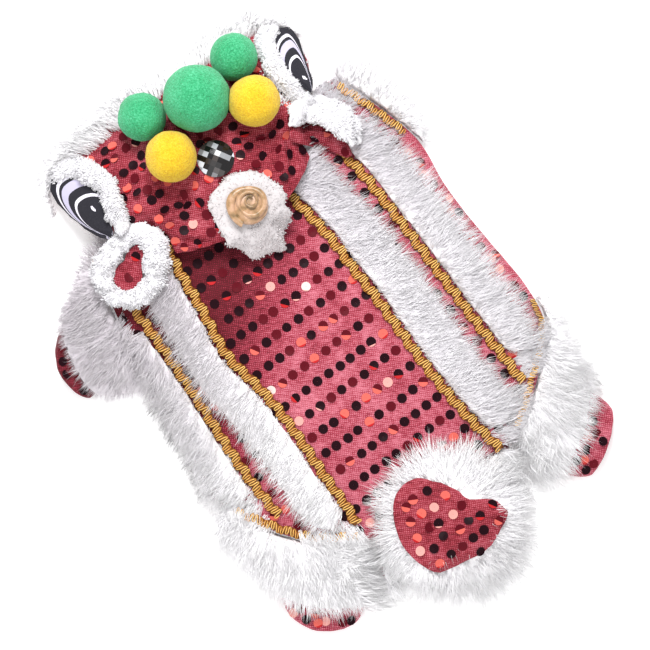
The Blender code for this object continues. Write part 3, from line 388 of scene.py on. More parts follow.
@dataclass(frozen=True)
class SmokyGlass:
    """Dark cut glass whose facets carry painted reflections, some grey and a few pale."""

    dark: Colour = (0.006, 0.005, 0.006)
    grey_reflection: Colour = (0.055, 0.045, 0.043)
    # The pale spark colour is a painted reflection.
    spark: Colour = (0.62, 0.66, 0.72)

    def material(self) -> bpy.types.Material:
        """Glossy facets, each painted dark, grey or pale at random as painted reflections."""
        dye = Dye("smoky_glass", Roughness=0.06, Specular_IOR_Level=0.5)
        stops = ((0.42, self.dark), (0.78, self.grey_reflection), (0.97, self.spark))
        return dye.finished(dye.ramp(dye.attribute("lit"), stops))


@dataclass(frozen=True)
class RoseSatin:
    """Beige gold satin ribbon."""

    # From deep to light, the satin's colours carry painted shade and sheen.
    deep: Colour = (0.15, 0.095, 0.034)
    body: Colour = (0.39, 0.225, 0.11)
    light: Colour = (0.60, 0.37, 0.24)

    def material(self) -> bpy.types.Material:
        """Satin with fine threads along the ribbon, painted sheen and shade in its folds, and painted shade
        toward the rose's heart.
        """
        dye = Dye("rose_satin", Roughness=0.33, Sheen_Weight=0.3, Specular_IOR_Level=0.6, Anisotropic=0.5)
        painted_fold_shade = dye.math("ADD", dye.noise(4.5, 3.0), dye.math("MULTIPLY", dye.attribute("heart"), -0.16))
        thread = dye.noise(0.5, 2.0, 0.6)
        stops = ((0.3, self.deep), (0.48, self.body), (0.68, self.light))
        colour = dye.ramp(dye.weighed(painted_fold_shade, 0.85, thread, 0.15), stops)
        return dye.finished(colour, thread, 0.05)


@dataclass(frozen=True)
class EyePrint:
    """The eye's nested leaves, from its dark middle to its dark border, printed on felt."""

    black: Colour = (0.014, 0.013, 0.019)
    white: Colour = (0.78, 0.75, 0.84)
    lilac: Colour = (0.50, 0.47, 0.61)
    fibre: Colour = (0.5, 0.5, 0.53)

    def material(self) -> bpy.types.Material:
        """Hard bands by how far out a place is, with a felt's grain."""
        dye = Dye("eye_print", Roughness=0.85, Specular_IOR_Level=0.1)
        bands = ((0.0, self.black), (0.55, self.white), (0.59, self.black), (0.70, self.lilac),
                 (0.815, self.black), (0.86, self.white), (0.91, self.black))
        grain = dye.noise(0.8, 3.0, 0.7)
        edge = dye.math("ADD", dye.attribute("leaf"), dye.centred(grain, 0.012))
        colour = dye.mixed(dye.math("MULTIPLY", grain, 0.05), dye.ramp(edge, bands, hard=True), self.fibre)
        return dye.finished(colour, grain, 0.12)


@dataclass(frozen=True)
class StudioPaper:
    """The pale sheet that the costume lies on."""

    tone: Colour = (0.93, 0.93, 0.935)
    darker: float = 0.985

    def material(self) -> bpy.types.Material:
        """Matte paper."""
        dye = Dye("studio_paper", Roughness=0.9, Specular_IOR_Level=0.1, Emission_Color=(*WHITE, 1.0),
                  Emission_Strength=0.3)
        shaded = tuple(self.darker * part for part in self.tone)
        return dye.finished(dye.mixed(dye.noise(300, 2.0), self.tone, shaded))


class Finish(Enum):
    """Every finish of the costume, by the part of it that wears it."""

    # The cloth's last two numbers paint light far from the hat and the hat's shadow near it.
    CLOTH = RedCloth("red_cloth", (0.085, 0.003, 0.008), (0.31, 0.021, 0.044), (0.70, 0.22, 0.285), 0.10,
                     -0.26)
    HAT_CLOTH = RedCloth("hat_cloth", (0.08, 0.002, 0.006), (0.27, 0.014, 0.028), (0.62, 0.165, 0.21))
    SEQUIN = SequinFoil()
    # The white fur darkens toward the hat to its last colour, a painted shadow of the hat.
    FUR = Pile("white_fur", (0.975, 0.96, 0.985), (1.0, 0.995, 1.0), (0.94, 0.91, 0.96), 0.6, 0.055,
               (0.68, 0.64, 0.67))
    # The fur of the right-hand bands is a darker copy of the white fur: painted shade, with its own painted
    # hat shadow.
    SIDE_FUR = Pile("shaded_side_fur", (0.895, 0.87, 0.905), (0.925, 0.905, 0.93), (0.845, 0.815, 0.86), 0.55, 0.03,
                    (0.84, 0.82, 0.84))
    CREST = Pile("crest_fur", (0.975, 0.96, 0.985), (1.0, 0.995, 1.0), (0.94, 0.91, 0.96), 0.6, 0.03)
    MUZZLE = Pile("muzzle_plush", (0.58, 0.545, 0.555), (0.67, 0.635, 0.64), (0.42, 0.39, 0.40), 0.1)
    PLUSH = Pile("white_plush", (0.74, 0.73, 0.76), (0.84, 0.83, 0.845), (0.56, 0.55, 0.59), 0.1)
    BRAID = GoldGimp()
    GREEN = Felted("green_pompom", (0.010, 0.18, 0.058), (0.034, 0.37, 0.155), (0.115, 0.57, 0.31))
    YELLOW = Felted("yellow_pompom", (0.54, 0.25, 0.004), (0.71, 0.46, 0.009), (0.82, 0.61, 0.045))
    GLASS = SmokyGlass()
    SATIN = RoseSatin()
    EYE = EyePrint()
    PAPER = StudioPaper()

    @property
    def made(self) -> bpy.types.Material:
        """The finish's material, made once."""
        return made_material(self)


@cache
def made_material(finish: Finish) -> bpy.types.Material:
    """The material of a finish."""
    return finish.value.material()


# Meshes


def linked(name: str, mesh: bpy.types.Mesh, finish: Finish | None = None) -> bpy.types.Object:
    """A mesh as an object of the scene, with its finish where it has one."""
    piece = bpy.data.objects.new(name, mesh)
    bpy.context.scene.collection.objects.link(piece)
    if finish is not None:
        mesh.materials.clear()
        mesh.materials.append(finish.made)
    return piece


def mesh_from(work: bmesh.types.BMesh, name: str) -> bpy.types.Mesh:
    """A new mesh with the worked geometry, which is freed."""
    mesh = bpy.data.meshes.new(name)
    work.to_mesh(mesh)
    work.free()
    return mesh


@contextmanager
def worked(mesh: bpy.types.Mesh) -> Iterator[bmesh.types.BMesh]:
    """A mesh's geometry to work on, which then goes back into the mesh."""
    work = bmesh.new()
    work.from_mesh(mesh)
    yield work
    work.to_mesh(mesh)
    work.free()


def baked(piece: bpy.types.Object) -> bpy.types.Object:
    """The piece with its modifiers turned into a plain mesh."""
    graph = bpy.context.evaluated_depsgraph_get()
    mesh = bpy.data.meshes.new_from_object(piece.evaluated_get(graph))
    piece.modifiers.clear()
    piece.data = mesh
    return piece


def places(mesh: bpy.types.Mesh) -> Points:
    """Where a mesh's vertices are, in millimetres."""
    flat = np.empty(len(mesh.vertices) * 3, np.float32)
    mesh.vertices.foreach_get("co", flat)
    return flat.reshape(-1, 3).astype(float) / MM


def normals(mesh: bpy.types.Mesh) -> Points:
    """Which way a mesh's vertices face."""
    flat = np.empty(len(mesh.vertices) * 3, np.float32)
    mesh.vertices.foreach_get("normal", flat)
    return flat.reshape(-1, 3).astype(float)


def moved(mesh: bpy.types.Mesh, points: Points) -> None:
    """Put a mesh's vertices at points in millimetres."""
    mesh.vertices.foreach_set("co", (points * MM).astype(np.float32).ravel())
    mesh.update()


def kept(mesh: bpy.types.Mesh, name: str, values: Points, domain: str = "POINT") -> None:
    """Keep numbers, or vectors, on a mesh by name."""
    if values.ndim == 2:
        kind, field, number = "FLOAT_VECTOR", "vector", np.float32
    elif values.dtype.kind == "i":
        kind, field, number = "INT", "value", np.int32
    else:
        kind, field, number = "FLOAT", "value", np.float32
    mesh.attributes.new(name, kind, domain).data.foreach_set(field, values.astype(number).ravel())


def noise_at(points: Points, pitch: float, seed: float = 0.0) -> Points:
    """Smooth noise from -1 to 1 at points in millimetres, with lumps a pitch apart."""
    shift = Vector((seed * 7.3, seed * 3.1, seed * 5.7))
    return np.array([noise.noise(Vector(point) / pitch + shift) for point in points])


def merged(node: str) -> bmesh.types.BMesh:
    """A CAD node's mesh with its loose triangles joined to quads."""
    work = bmesh.new()
    work.from_mesh(frame["nodes"][node].data)
    bmesh.ops.remove_doubles(work, verts=work.verts, dist=0.01 * MM)
    bmesh.ops.join_triangles(
        work, faces=work.faces, cmp_seam=False, cmp_sharp=False, cmp_uvs=False, cmp_vcols=False,
        cmp_materials=False, angle_face_threshold=math.radians(35), angle_shape_threshold=math.radians(70))
    return work


def refined(node: str, levels: int, finish: Finish) -> bpy.types.Object:
    """A smooth, finer copy of a CAD node's mesh, under a name of its own."""
    piece = linked(node + "_dressed", mesh_from(merged(node), node + "_dressed"), finish)
    smoother = piece.modifiers.new("smoother", "SUBSURF")
    smoother.levels = smoother.render_levels = levels
    baked(piece)
    piece.data.shade_smooth()
    return piece


def rippled(piece: bpy.types.Object, ripples: Iterable[Pair], seed: float) -> None:
    """Push a piece's surface in and out by noise.

    Args:
        piece: The piece.
        ripples: Pitch and height of each layer of noise, in millimetres.
        seed: Shifts the noise.
    """
    points = places(piece.data)
    height = sum(noise_at(points, pitch, seed + layer) * lift for layer, (pitch, lift) in enumerate(ripples))
    moved(piece.data, points + normals(piece.data) * height[:, None])


def tree_of(names: Iterable[str]) -> BVHTree:
    """A search tree over CAD nodes, in millimetres."""
    corners: list[Vector] = []
    faces: list[tuple[int, ...]] = []
    for name in names:
        start = len(corners)
        mesh = frame["nodes"][name].data
        corners.extend(vertex.co / MM for vertex in mesh.vertices)
        faces.extend(tuple(start + corner for corner in face.vertices) for face in mesh.polygons)
    return BVHTree.FromPolygons(corners, faces)


def tree_of_piece(piece: bpy.types.Object) -> BVHTree:
    """A search tree over a dressed piece, in millimetres."""
    mesh = piece.data
    corners = [vertex.co / MM for vertex in mesh.vertices]
    return BVHTree.FromPolygons(corners, [tuple(face.vertices) for face in mesh.polygons])


def under(tree: BVHTree, x: float, y: float) -> tuple[Vector | None, Vector | None]:
    """The highest place of a search tree at a spot seen from above, and which way it faces."""
    return tree.ray_cast(Vector((x, y, ABOVE_ALL)), DOWN)[:2]


def box_of(node: str) -> tuple[Vector, Vector]:
    """A CAD node's lowest and highest corners, in millimetres."""
    low, high = (Vector(corner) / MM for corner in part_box(node))
    return low, high


def settle(piece: bpy.types.Object, slot: str, *nodes: str) -> bpy.types.Object:
    """Let a finished piece stand for its CAD nodes and ride on the costume.

    Args:
        piece: The finished piece.
        slot: The record's material slot. Not used.
        nodes: The CAD nodes that it replaces.

    Returns:
        The piece.
    """
    if nodes:
        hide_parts(*nodes)
    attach(piece, "root")
    triangles = sum(len(face.vertices) - 2 for face in piece.data.polygons)
    LOG.info("%s: %d triangles", piece.name, triangles)
    return piece


# What repeats


FREEST_SWAY = (0.6, 0.45, 1.0)


@cache
def placing_tree(scattered: bool) -> bpy.types.NodeTree:
    """The Geometry Nodes that set small pieces on a base, along its "comb" and "up" directions.

    Args:
        scattered: True where they are strewn over faces, False where each stands on a vertex.

    Returns:
        The tree.
    """
    tree = bpy.data.node_groups.new("strewn_pieces" if scattered else "placed_pieces", "GeometryNodeTree")
    for name, kind in (("Geometry", "Geometry"), ("Pieces", "Collection"), ("Finish", "Material"),
                       ("Per Area", "Float"), ("Seed", "Int"), ("Sway", "Float"), ("Size Spread", "Float"),
                       ("Kinds", "Int"), ("Keep Base", "Bool")):
        tree.interface.new_socket(name, in_out="INPUT", socket_type="NodeSocket" + kind)
    tree.interface.new_socket("Geometry", in_out="OUTPUT", socket_type="NodeSocketGeometry")
    wires = Wiring(tree)
    given = wires.add("NodeGroupInput").outputs

    def named(name: str, kind: str = "FLOAT") -> bpy.types.Node:
        """What the base keeps by name."""
        return wires.add("GeometryNodeInputNamedAttribute", {"Name": name}, data_type=kind)

    def chance(kind: str, low: object, high: object, offset: int) -> bpy.types.Node:
        """A random value for each piece, with draws of its own by the offset."""
        seed = wires.math("ADD", given["Seed"], float(offset))
        return wires.add("FunctionNodeRandomValue", {"Min": low, "Max": high, "Seed": seed}, data_type=kind)

    if scattered:
        density = wires.math("MULTIPLY", given["Per Area"], named("pile"))
        strewn = wires.add("GeometryNodeDistributePointsOnFaces",
                           {"Mesh": given["Geometry"], "Density": density, "Seed": given["Seed"]})
        points, up = strewn.outputs["Points"], strewn.outputs["Normal"]
        kind = chance("INT", 0, given["Kinds"], 11)
    else:
        points, up = given["Geometry"], named("up", "FLOAT_VECTOR")
        kind = named("kind", "INT")
    comb = named("comb", "FLOAT_VECTOR")
    ahead = wires.add("FunctionNodeAlignRotationToVector", {"Vector": comb}, axis="X")
    upright = wires.add("FunctionNodeAlignRotationToVector", {"Rotation": ahead, "Vector": up}, axis="Z",
                        pivot_axis="X")
    swing = chance("FLOAT_VECTOR", tuple(-most for most in FREEST_SWAY), FREEST_SWAY, 3)
    sway = wires.add("ShaderNodeVectorMath", {0: swing, "Scale": given["Sway"]}, operation="SCALE")
    swayed = wires.add("FunctionNodeEulerToRotation", {"Euler": sway})
    turned = wires.add("FunctionNodeRotateRotation", {"Rotation": upright, "Rotate By": swayed},
                       rotation_space="LOCAL")
    least, most = (wires.math(operation, 1.0, given["Size Spread"]) for operation in ("SUBTRACT", "ADD"))
    spread = chance("FLOAT", least, most, 5)
    kinds = wires.add("GeometryNodeCollectionInfo",
                      {"Collection": given["Pieces"], "Separate Children": True, "Reset Children": True})
    stood = wires.add("GeometryNodeInstanceOnPoints",
                      {"Points": points, "Instance": kinds, "Pick Instance": True, "Instance Index": kind,
                       "Rotation": turned, "Scale": wires.math("MULTIPLY", spread, named("reach"))})
    toned = wires.add("GeometryNodeStoreNamedAttribute",
                      {"Geometry": stood, "Name": "tone", "Value": chance("FLOAT", 0.0, 1.0, 7)},
                      data_type="FLOAT", domain="INSTANCE")
    real = wires.add("GeometryNodeRealizeInstances", {"Geometry": toned})
    dressed = wires.add("GeometryNodeSetMaterial", {"Geometry": real, "Material": given["Finish"]})
    base = wires.add("GeometryNodeSwitch", {"Switch": given["Keep Base"], "True": given["Geometry"]},
                     input_type="GEOMETRY")
    joined = wires.add("GeometryNodeJoinGeometry")
    tree.links.new(base.outputs[0], joined.inputs[0])
    tree.links.new(dressed.outputs[0], joined.inputs[0])
    wires.feed(wires.add("NodeGroupOutput").inputs[0], joined)
    return tree


@dataclass(frozen=True)
class Placing:
    """How small pieces are set on a base."""

    scattered: bool
    sway: float
    size_spread: float
    per_area: float = 0.0
    seed: int = 1
    keep_base: bool = False

    def apply(self, base: bpy.types.Object, pieces: list[bpy.types.Mesh], finish: Finish) -> bpy.types.Object:
        """Set the pieces on the base and turn the whole into a plain mesh.

        Args:
            base: Carries "comb" and "reach", with "pile" where scattered or "up" and "kind" where not.
            pieces: The small pieces' meshes, in the order of their kinds.
            finish: What they wear.

        Returns:
            The base object, with the result as its mesh.
        """
        box = bpy.data.collections.new("small_pieces")
        bpy.context.scene.collection.children.link(box)
        for index, mesh in enumerate(pieces):
            box.objects.link(bpy.data.objects.new(f"small_{index:02d}", mesh))
        tree = placing_tree(self.scattered)
        modifier = base.modifiers.new("placing", "NODES")
        modifier.node_group = tree
        wanted = {"Pieces": box, "Finish": finish.made, "Per Area": self.per_area * PER_MM2,
                  "Seed": self.seed, "Sway": self.sway, "Size Spread": self.size_spread,
                  "Kinds": len(pieces) - 1, "Keep Base": self.keep_base}
        for item in tree.interface.items_tree:
            if item.in_out == "INPUT" and item.name in wanted:
                modifier[item.identifier] = wanted[item.name]
        baked(base)
        for small in list(box.objects):
            bpy.data.objects.remove(small)
        bpy.data.collections.remove(box)
        return base


@dataclass(frozen=True)
class Tuft:
    """A small lock of hairs that rise from their roots and bend over along +X, in millimetres and degrees."""

    hairs: int
    length: float
    thick: float
    spread: float
    stand: float
    lie: float
    gather: float
    back: float
    scatter: Pair = (0.4, 0.5)
    lengths: Pair = (0.65, 1.1)
    stray: float = 0.22
    closing: float = 1.6
    curl: float = 1.3
    wave: float = 0.06
    flatness: float = 0.3
    sunk: float = 0.5
    thinning: tuple[Pair, ...] = ((0.0, 1.0), (0.5, 0.75), (1.0, 0.0))

    def mesh(self, seed: int) -> bpy.types.Mesh:
        """One lock of closed three-sided hairs.

        Args:
            seed: Chooses this lock's hairs.

        Returns:
            The mesh, which keeps how far along its hair each vertex is.
        """
        chance = np.random.default_rng(seed)
        hair_points: list[np.ndarray] = []
        along: list[float] = []
        faces: list[tuple[int, ...]] = []
        for _ in range(self.hairs):
            root = np.array([chance.normal(0, part) for part in self.scatter] + [0.0]) * self.spread
            root -= np.array([self.back, 0, 0])
            length = self.length * chance.uniform(*self.lengths)
            yaw = chance.normal(0, self.stray) - self.gather * root[1] / max(self.length, 1) * self.closing
            start, before = len(along), 0.0
            spot = root + np.array([0.0, 0.0, -self.sunk])
            for share, thinned in self.thinning:
                if share:
                    bent = self.stand + (self.lie - self.stand) * (share - 0.25)
                    lean = math.radians(bent) + chance.normal(0, self.wave)
                    level = math.cos(lean)
                    ahead = np.array([level * math.cos(yaw), level * math.sin(yaw), math.sin(lean)])
                    spot = spot + ahead * (length * (share - before))
                    yaw *= self.curl
                    before = share
                for corner in range(3 if thinned else 1):
                    turn = corner * math.tau / 3 + math.pi / 2
                    across = np.array([-self.flatness * math.sin(turn), math.cos(turn), math.sin(turn)])
                    hair_points.append(spot + across * (self.thick * thinned))
                    along.append(share)
            faces.append((start, start + 1, start + 2))
            for corner in range(3):
                after = (corner + 1) % 3
                faces.append((start + after, start + corner, start + 3 + corner, start + 3 + after))
                faces.append((start + 3 + after, start + 3 + corner, start + 6))
        mesh = bpy.data.meshes.new("tuft")
        mesh.from_pydata([tuple(point * MM) for point in hair_points], [], faces)
        kept(mesh, "along", np.array(along))
        return outward(mesh)


def outward(mesh: bpy.types.Mesh) -> bpy.types.Mesh:
    """The mesh with its faces turned outwards."""
    with worked(mesh) as work:
        bmesh.ops.recalc_face_normals(work, faces=work.faces)
    mesh.shade_smooth()
    return mesh


@dataclass(frozen=True)
class Nudge:
    """A soft push on everything near a spot, seen from above, in millimetres."""

    x: float
    y: float
    radius: float
    push_x: float
    push_y: float
    push_z: float = 0.0

    def applied(self, points: Points) -> Points:
        """The points, pushed."""
        share = np.hypot(points[:, 0] - self.x, points[:, 1] - self.y) / self.radius
        pull = np.clip(1 - share ** 2, 0, None) ** 2
        return points + pull[:, None] * np.array([self.push_x, self.push_y, self.push_z])


@dataclass(frozen=True)
class Crease:
    """A sunken line in a cloth with a soft ridge on either side, seen from above, in millimetres."""

    start: Pair
    end: Pair
    width: float
    depth: float

    def applied(self, points: Points) -> Points:
        """The points, pressed in along the line."""
        start, way = np.array(self.start), np.array(self.end) - np.array(self.start)
        share = np.clip((points[:, :2] - start) @ way / (way @ way), 0, 1)
        away = np.linalg.norm(points[:, :2] - start - share[:, None] * way, axis=1) / self.width
        fade = np.sin(np.clip(share, 0.03, 0.97) * math.pi) ** 0.5
        sunk = -self.depth * fade * (1 - 1.1 * away ** 2) * np.exp(-away ** 2)
        return points + np.column_stack((np.zeros((len(points), 2)), sunk))


def seen_from(points: Points, middle: Pair) -> tuple[Points, Points, Points]:
    """How points lie round a middle, seen from above.

    Args:
        points: The points, in millimetres.
        middle: The middle.

    Returns:
        The way from it to each point, how far that is, and its angle from +X in degrees.
    """
    away = points[:, :2] - np.array(middle)
    angle = np.degrees(np.arctan2(away[:, 1], away[:, 0])) % 360
    return away, np.hypot(away[:, 0], away[:, 1]), angle


def radius_at(angle: Points, radii: tuple[float, ...]) -> Points:
    """The radius at each angle, from radii that are evenly spaced by angle from +X."""
    return np.interp(angle, np.linspace(0, 360, len(radii), endpoint=False), radii, period=360)


@dataclass(frozen=True)
class Traced:
    """An outline read off an enlarged part of the photograph, spot by spot.

    The spots are pixels of the enlarged part, whose own corner is a pixel of the photograph. The height is
    how high the outline lies, in millimetres, because what is nearer to the camera looks larger. Its places
    are kept to a number of digits.
    """

    spots: tuple[Pair, ...]
    height: float
    corner: Pair = (0, 0)
    zoom: float = 1.0
    digits: int = 3

    def places(self) -> Points:
        """Where the outline lies, seen from above, in millimetres."""
        across, down = (np.array(self.spots) / self.zoom + self.corner).T
        x = PHOTO_CORNER[0] + PIXEL_STEP[0] * across - PIXEL_STEP[1] * down
        y = PHOTO_CORNER[1] - PIXEL_STEP[1] * across - PIXEL_STEP[0] * down
        enlarged = 1 + self.height / CAMERA_AWAY
        seen = np.column_stack((x, y))
        return np.round(CAMERA_AIM + (seen - CAMERA_AIM) / enlarged, self.digits)

    def line(self) -> tuple[Pair, ...]:
        """The outline as an open line."""
        return tuple(map(tuple, self.places().tolist()))

    def radii(self, middle: Pair, count: int) -> tuple[float, ...]:
        """The outline as radii round a middle, to a tenth of a millimetre.

        Args:
            middle: The middle, seen from above.
            count: How many radii, evenly spaced by angle from +X.

        Returns:
            The radii.
        """
        _, size, angle = seen_from(self.places(), middle)
        order = np.argsort(angle)
        turns = np.arange(count) * 360 / count
        around = np.interp(turns, angle[order], size[order], period=360)
        return tuple(np.round(around, 1).tolist())


@dataclass(frozen=True)
class Outline:
    """An uneven outline round a middle, seen from above, that a flat solid is drawn out to."""

    middle: Pair
    radii: tuple[float, ...]
    sector: int = 10

    def applied(self, points: Points) -> Points:
        """The points, drawn out to the radii, which are evenly spaced by angle from +X."""
        away, size, angle = seen_from(points, self.middle)
        bins = (angle / self.sector).astype(int)
        count = 360 // self.sector
        rim = [size[bins == index].max() if (bins == index).any() else size.max() for index in range(count)]
        old = np.interp(angle, (np.arange(count) + 0.5) * self.sector, rim, period=360)
        new = radius_at(angle, self.radii)
        share = (size / old)[:, None]
        grown = np.array(self.middle) + away / (size[:, None] + TINY) * new[:, None] * share
        return np.column_stack((grown, points[:, 2]))


@dataclass(frozen=True)
class Bend:
    """Lays a strip of a solid between two curved edges, seen from above, and over what lies below."""

    start: Pair
    end: Pair
    wide: Pair | None
    lower: tuple[Pair, ...]
    upper: tuple[Pair, ...]
    over: tuple[str, ...]
    gap: float = 0.3
    bins: int = 10

    def applied(self, points: Points) -> Points:
        """The points, bent and laid."""
        way = np.array(self.end) - np.array(self.start)
        length = float(np.linalg.norm(way))
        way = way / length
        away = points[:, :2] - np.array(self.start)
        along = np.clip(away @ way / length, 0, 1)
        aside = away @ np.array((-way[1], way[0]))
        if self.wide is None:
            bins = np.clip((along * self.bins).astype(int), 0, self.bins - 1)
            steps = [index for index in range(self.bins) if (bins == index).any()]
            least, most = (
                np.interp(along * self.bins - 0.5, steps, [pick(aside[bins == index]) for index in steps])
                for pick in (np.min, np.max))
            across = np.clip((aside - least) / (most - least), 0, 1)
        else:
            width = self.wide[0] + (self.wide[1] - self.wide[0]) * along
            across = np.clip(aside / width + 0.5, 0, 1)
        low, high = (self.on_edge(edge, along) for edge in (self.lower, self.upper))
        plan = low + (high - low) * across[:, None]
        tree = tree_of(self.over)
        ground = np.array([self.ground(tree, x, y) for x, y in plan])
        return np.column_stack((plan, ground + points[:, 2] - points[:, 2].min() + self.gap))

    @staticmethod
    def on_edge(edge: tuple[Pair, ...], along: Points) -> Points:
        """Places on an edge by their share of its length."""
        spots = np.array(edge)
        steps = np.linspace(0, 1, len(spots))
        return np.stack([np.interp(along, steps, spots[:, axis]) for axis in (0, 1)], axis=1)

    @staticmethod
    def ground(tree: BVHTree, x: float, y: float) -> float:
        """How high what lies below reaches near a place."""
        near = 2.5
        spots = [under(tree, x + ahead, y + beside)[0]
                 for ahead, beside in ((0, 0), (near, 0), (-near, 0), (0, near), (0, -near))]
        return max([0.0] + [spot.z for spot in spots if spot is not None])


def reshaped(piece: bpy.types.Object, shapers: Iterable[object]) -> None:
    """Apply every reshaping to a piece's surface."""
    points = places(piece.data)
    for shaper in shapers:
        points = shaper.applied(points)
    moved(piece.data, points)


# Fur and plush


class Flow(Enum):
    """How a pile is brushed."""

    STRAIGHT = "one way"
    FAN = "away from a point"


@dataclass(frozen=True)
class Brush:
    """The way a pile lies: a direction, or the point that it fans out from."""

    flow: Flow
    x: float
    y: float
    wander: float
    broad_swirl: float = 15
    small_swirl: float = 5
    broad_share: float = 1.4
    steepest: float = 0.45
    hang: float = 0.42

    def directions(self, points: Points, facing: Points) -> Points:
        """The way each hair lies.

        Args:
            points: The roots, in millimetres.
            facing: The surface's directions there.

        Returns:
            Unit vectors.
        """
        if self.flow is Flow.STRAIGHT:
            plan = np.tile(np.array([self.x, self.y], float), (len(points), 1))
        else:
            plan = points[:, :2] - np.array([self.x, self.y])
        plan /= np.linalg.norm(plan, axis=1)[:, None] + TINY
        turn = noise_at(points, self.broad_swirl, 3.0) * self.wander * self.broad_share
        turn += noise_at(points, self.small_swirl, 8.0) * self.wander
        cosine, sine = np.cos(turn), np.sin(turn)
        x, y = plan[:, 0], plan[:, 1]
        swung = np.stack((x * cosine - y * sine, x * sine + y * cosine), axis=1)
        slope = (swung * facing[:, :2]).sum(axis=1)
        climb = np.clip(-slope, 0, 1) / np.clip(facing[:, 2], self.steepest, 1)
        fall = self.hang * np.clip(slope, 0, 1)
        whole = np.column_stack((swung, climb - fall))
        return whole / np.linalg.norm(whole, axis=1)[:, None]


def lying(x: float, y: float, wander: float = 0.35) -> Brush:
    """A pile brushed one way."""
    return Brush(Flow.STRAIGHT, x, y, wander)


def fanned(x: float, y: float, wander: float = 0.35) -> Brush:
    """A pile that fans out from a point."""
    return Brush(Flow.FAN, x, y, wander)


LONG_FUR = Tuft(hairs=6, length=17, thick=0.22, spread=2.0, stand=30, lie=-10, gather=1.0, back=1.5)
SHORT_FUR = Tuft(hairs=6, length=14, thick=0.22, spread=2.0, stand=30, lie=-10, gather=1.0, back=2.5)
PLUSH_NAP = Tuft(hairs=3, length=2.4, thick=0.6, spread=1.5, stand=80, lie=30, gather=0.1, back=0.0)
FELT_NAP = Tuft(hairs=3, length=1.4, thick=0.5, spread=1.5, stand=40, lie=10, gather=0.1, back=0.0)
CREST_FUR = Tuft(hairs=6, length=15, thick=0.25, spread=2.0, stand=40, lie=4, gather=0.9, back=2.0)


def uneven(points: Points, spread: float, pitch: float, seed: int) -> Points:
    """Factors round 1 that vary by a spread, smoothly from place to place."""
    return 1 + spread * noise_at(points, pitch, seed)


MARGIN_TURNS_UNDER = -0.1


@dataclass(frozen=True)
class Margin:
    """A strip of a neighbour's surface, seen from above, that a piece's pile grows on too."""

    node: str
    low: Pair
    high: Pair
    brush: Brush
    size: float
    per_area: float = 0.25

    def base(self, seed: int, finish: Finish) -> bpy.types.Object:
        """The strip on its own in the pile's finish, ready for its tufts."""
        piece = refined(self.node, 1, finish)
        piece.name = f"{self.node}_margin_{seed}"
        with worked(piece.data) as work:
            outside = []
            for face in work.faces:
                spot = face.calc_center_median() / MM
                inside = self.low[0] <= spot.x <= self.high[0] and self.low[1] <= spot.y <= self.high[1]
                if not inside or face.normal.z < MARGIN_TURNS_UNDER:
                    outside.append(face)
            bmesh.ops.delete(work, geom=outside, context="FACES")
        points, facing = places(piece.data), normals(piece.data)
        kept(piece.data, "comb", self.brush.directions(points, facing))
        kept(piece.data, "reach", self.size * uneven(points, 0.25, 8, seed))
        kept(piece.data, "pile", np.ones(len(points)))
        return piece


TUFT_KINDS = 7
SEEDS_A_PIECE = 50
MARGIN_SEED = 20
SIZE_SPREAD = 0.2
# The skin under the pile takes the painted root shade a third of the way up a hair.
SKIN_ALONG, SKIN_TONE = 0.35, 0.5
FLOOR_GAP, SINK = 0.15, 1.5
BESIDE = 7
SHORTEST = 0.3
TURNS_UNDER = -0.35
CLOSE_ABOVE = 3.5


